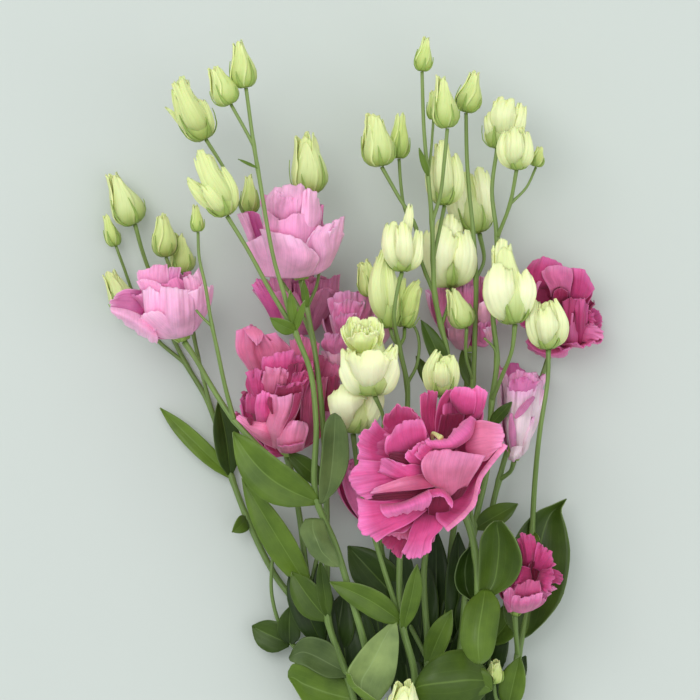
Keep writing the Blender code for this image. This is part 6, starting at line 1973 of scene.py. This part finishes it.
def make_world():
    """Even light from all round."""
    world = bpy.data.worlds.new("studio")
    world.use_nodes = True
    backdrop = world.node_tree.nodes["Background"]
    backdrop.inputs["Color"].default_value = SKY_COLOUR
    backdrop.inputs["Strength"].default_value = SKY_STRENGTH
    bpy.context.scene.world = world


STALK = stalk_material()
# The face's darkest green, taken at tone 0 by the low leaves, is partly painted shade for the foot's deep
# gaps.
LEAF_FACE = leaf_material(
    "leaf_face", (0.017, 0.040, 0.004), (0.13, 0.224, 0.024), (0.19, 0.30, 0.06), 0.42, 0.1,
)
LEAF_BACK = leaf_material(
    "leaf_back", (0.09, 0.14, 0.045), (0.25, 0.345, 0.12), (0.29, 0.40, 0.16), 0.5, 0.0,
)
BUD_SKIN = bud_material(
    "bud_skin", (0.29, 0.41, 0.07), (0.66, 0.75, 0.25), (1.0, 1.0, 0.63), (0.87, 0.92, 0.42),
)
BUD_FRILL = bud_material(
    "bud_frill", (0.58, 0.72, 0.16), (0.80, 0.88, 0.28), (0.84, 0.90, 0.40), (0.9, 0.94, 0.5),
)
SEPAL = sepal_material()
STIGMA = stigma_material()
BAND = band_material()

# Colours of the petals' inner face, then of their outer face: throat, body, rim, inner rows, share of those
# and, where it isn't the usual one, how far up the throat's colour reaches. The dark throat and inner-row
# colours are partly the petals' own deeper colour and partly painted shade; the pale rim is a painted
# highlight.
PETAL_COLOURS = {
    "light": (
        ((0.62, 0.10, 0.36), (0.86, 0.28, 0.57), (0.95, 0.46, 0.72), (0.66, 0.09, 0.36), 0.8),
        ((0.90, 0.46, 0.62), (0.97, 0.44, 0.68), (0.98, 0.54, 0.76), (0.92, 0.25, 0.54), 0.9),
    ),
    "rose": (
        ((0.35, 0.03, 0.13), (0.66, 0.10, 0.33), (0.80, 0.20, 0.48), (0.55, 0.04, 0.24), 0.8),
        ((0.52, 0.26, 0.28), (0.66, 0.24, 0.38), (0.80, 0.28, 0.50), (0.45, 0.08, 0.24), 0.8),
    ),
    "deep": (
        ((0.12, 0.004, 0.02), (0.70, 0.075, 0.27), (0.94, 0.21, 0.52), (0.34, 0.012, 0.075), 0.75, 0.22),
        ((0.50, 0.045, 0.15), (0.82, 0.21, 0.38), (0.96, 0.32, 0.58), (0.46, 0.03, 0.13), 0.9, 0.30),
    ),
    "dark": (
        ((0.10, 0.003, 0.015), (0.60, 0.05, 0.22), (0.78, 0.14, 0.40), (0.28, 0.008, 0.055), 0.75, 0.20),
        ((0.58, 0.10, 0.22), (0.76, 0.16, 0.38), (0.86, 0.26, 0.52), (0.42, 0.03, 0.13), 0.7),
    ),
    "mauve": (
        ((0.34, 0.03, 0.12), (0.93, 0.26, 0.53), (0.98, 0.44, 0.74), (0.55, 0.05, 0.25), 0.8),
        ((0.66, 0.26, 0.34), (0.92, 0.40, 0.58), (0.97, 0.54, 0.76), (0.32, 0.11, 0.14), 0.8),
    ),
    "lavender": (
        ((0.58, 0.24, 0.42), (0.78, 0.30, 0.52), (0.84, 0.32, 0.58), (0.60, 0.10, 0.34), 0.8),
        ((0.90, 0.68, 0.74), (0.97, 0.72, 0.80), (0.92, 0.48, 0.72), (0.76, 0.34, 0.54), 0.5),
    ),
}
PALETTES = {
    name: [petal_material(name + side, *colours) for side, colours in zip(("_front", "_back"), faces)]
    for name, faces in PETAL_COLOURS.items()
}

make_camera()
make_world()
make_floor()
for lamp in LAMPS:
    make_light(*lamp)

for key, value in STEMS.items():
    make_stem(key, value)
for entry in BUDS:
    make_bud(*entry)
for key, value in BLOOMS.items():
    make_bloom(key, value)
make_tie()

bpy.context.scene.view_settings.view_transform = "Standard"
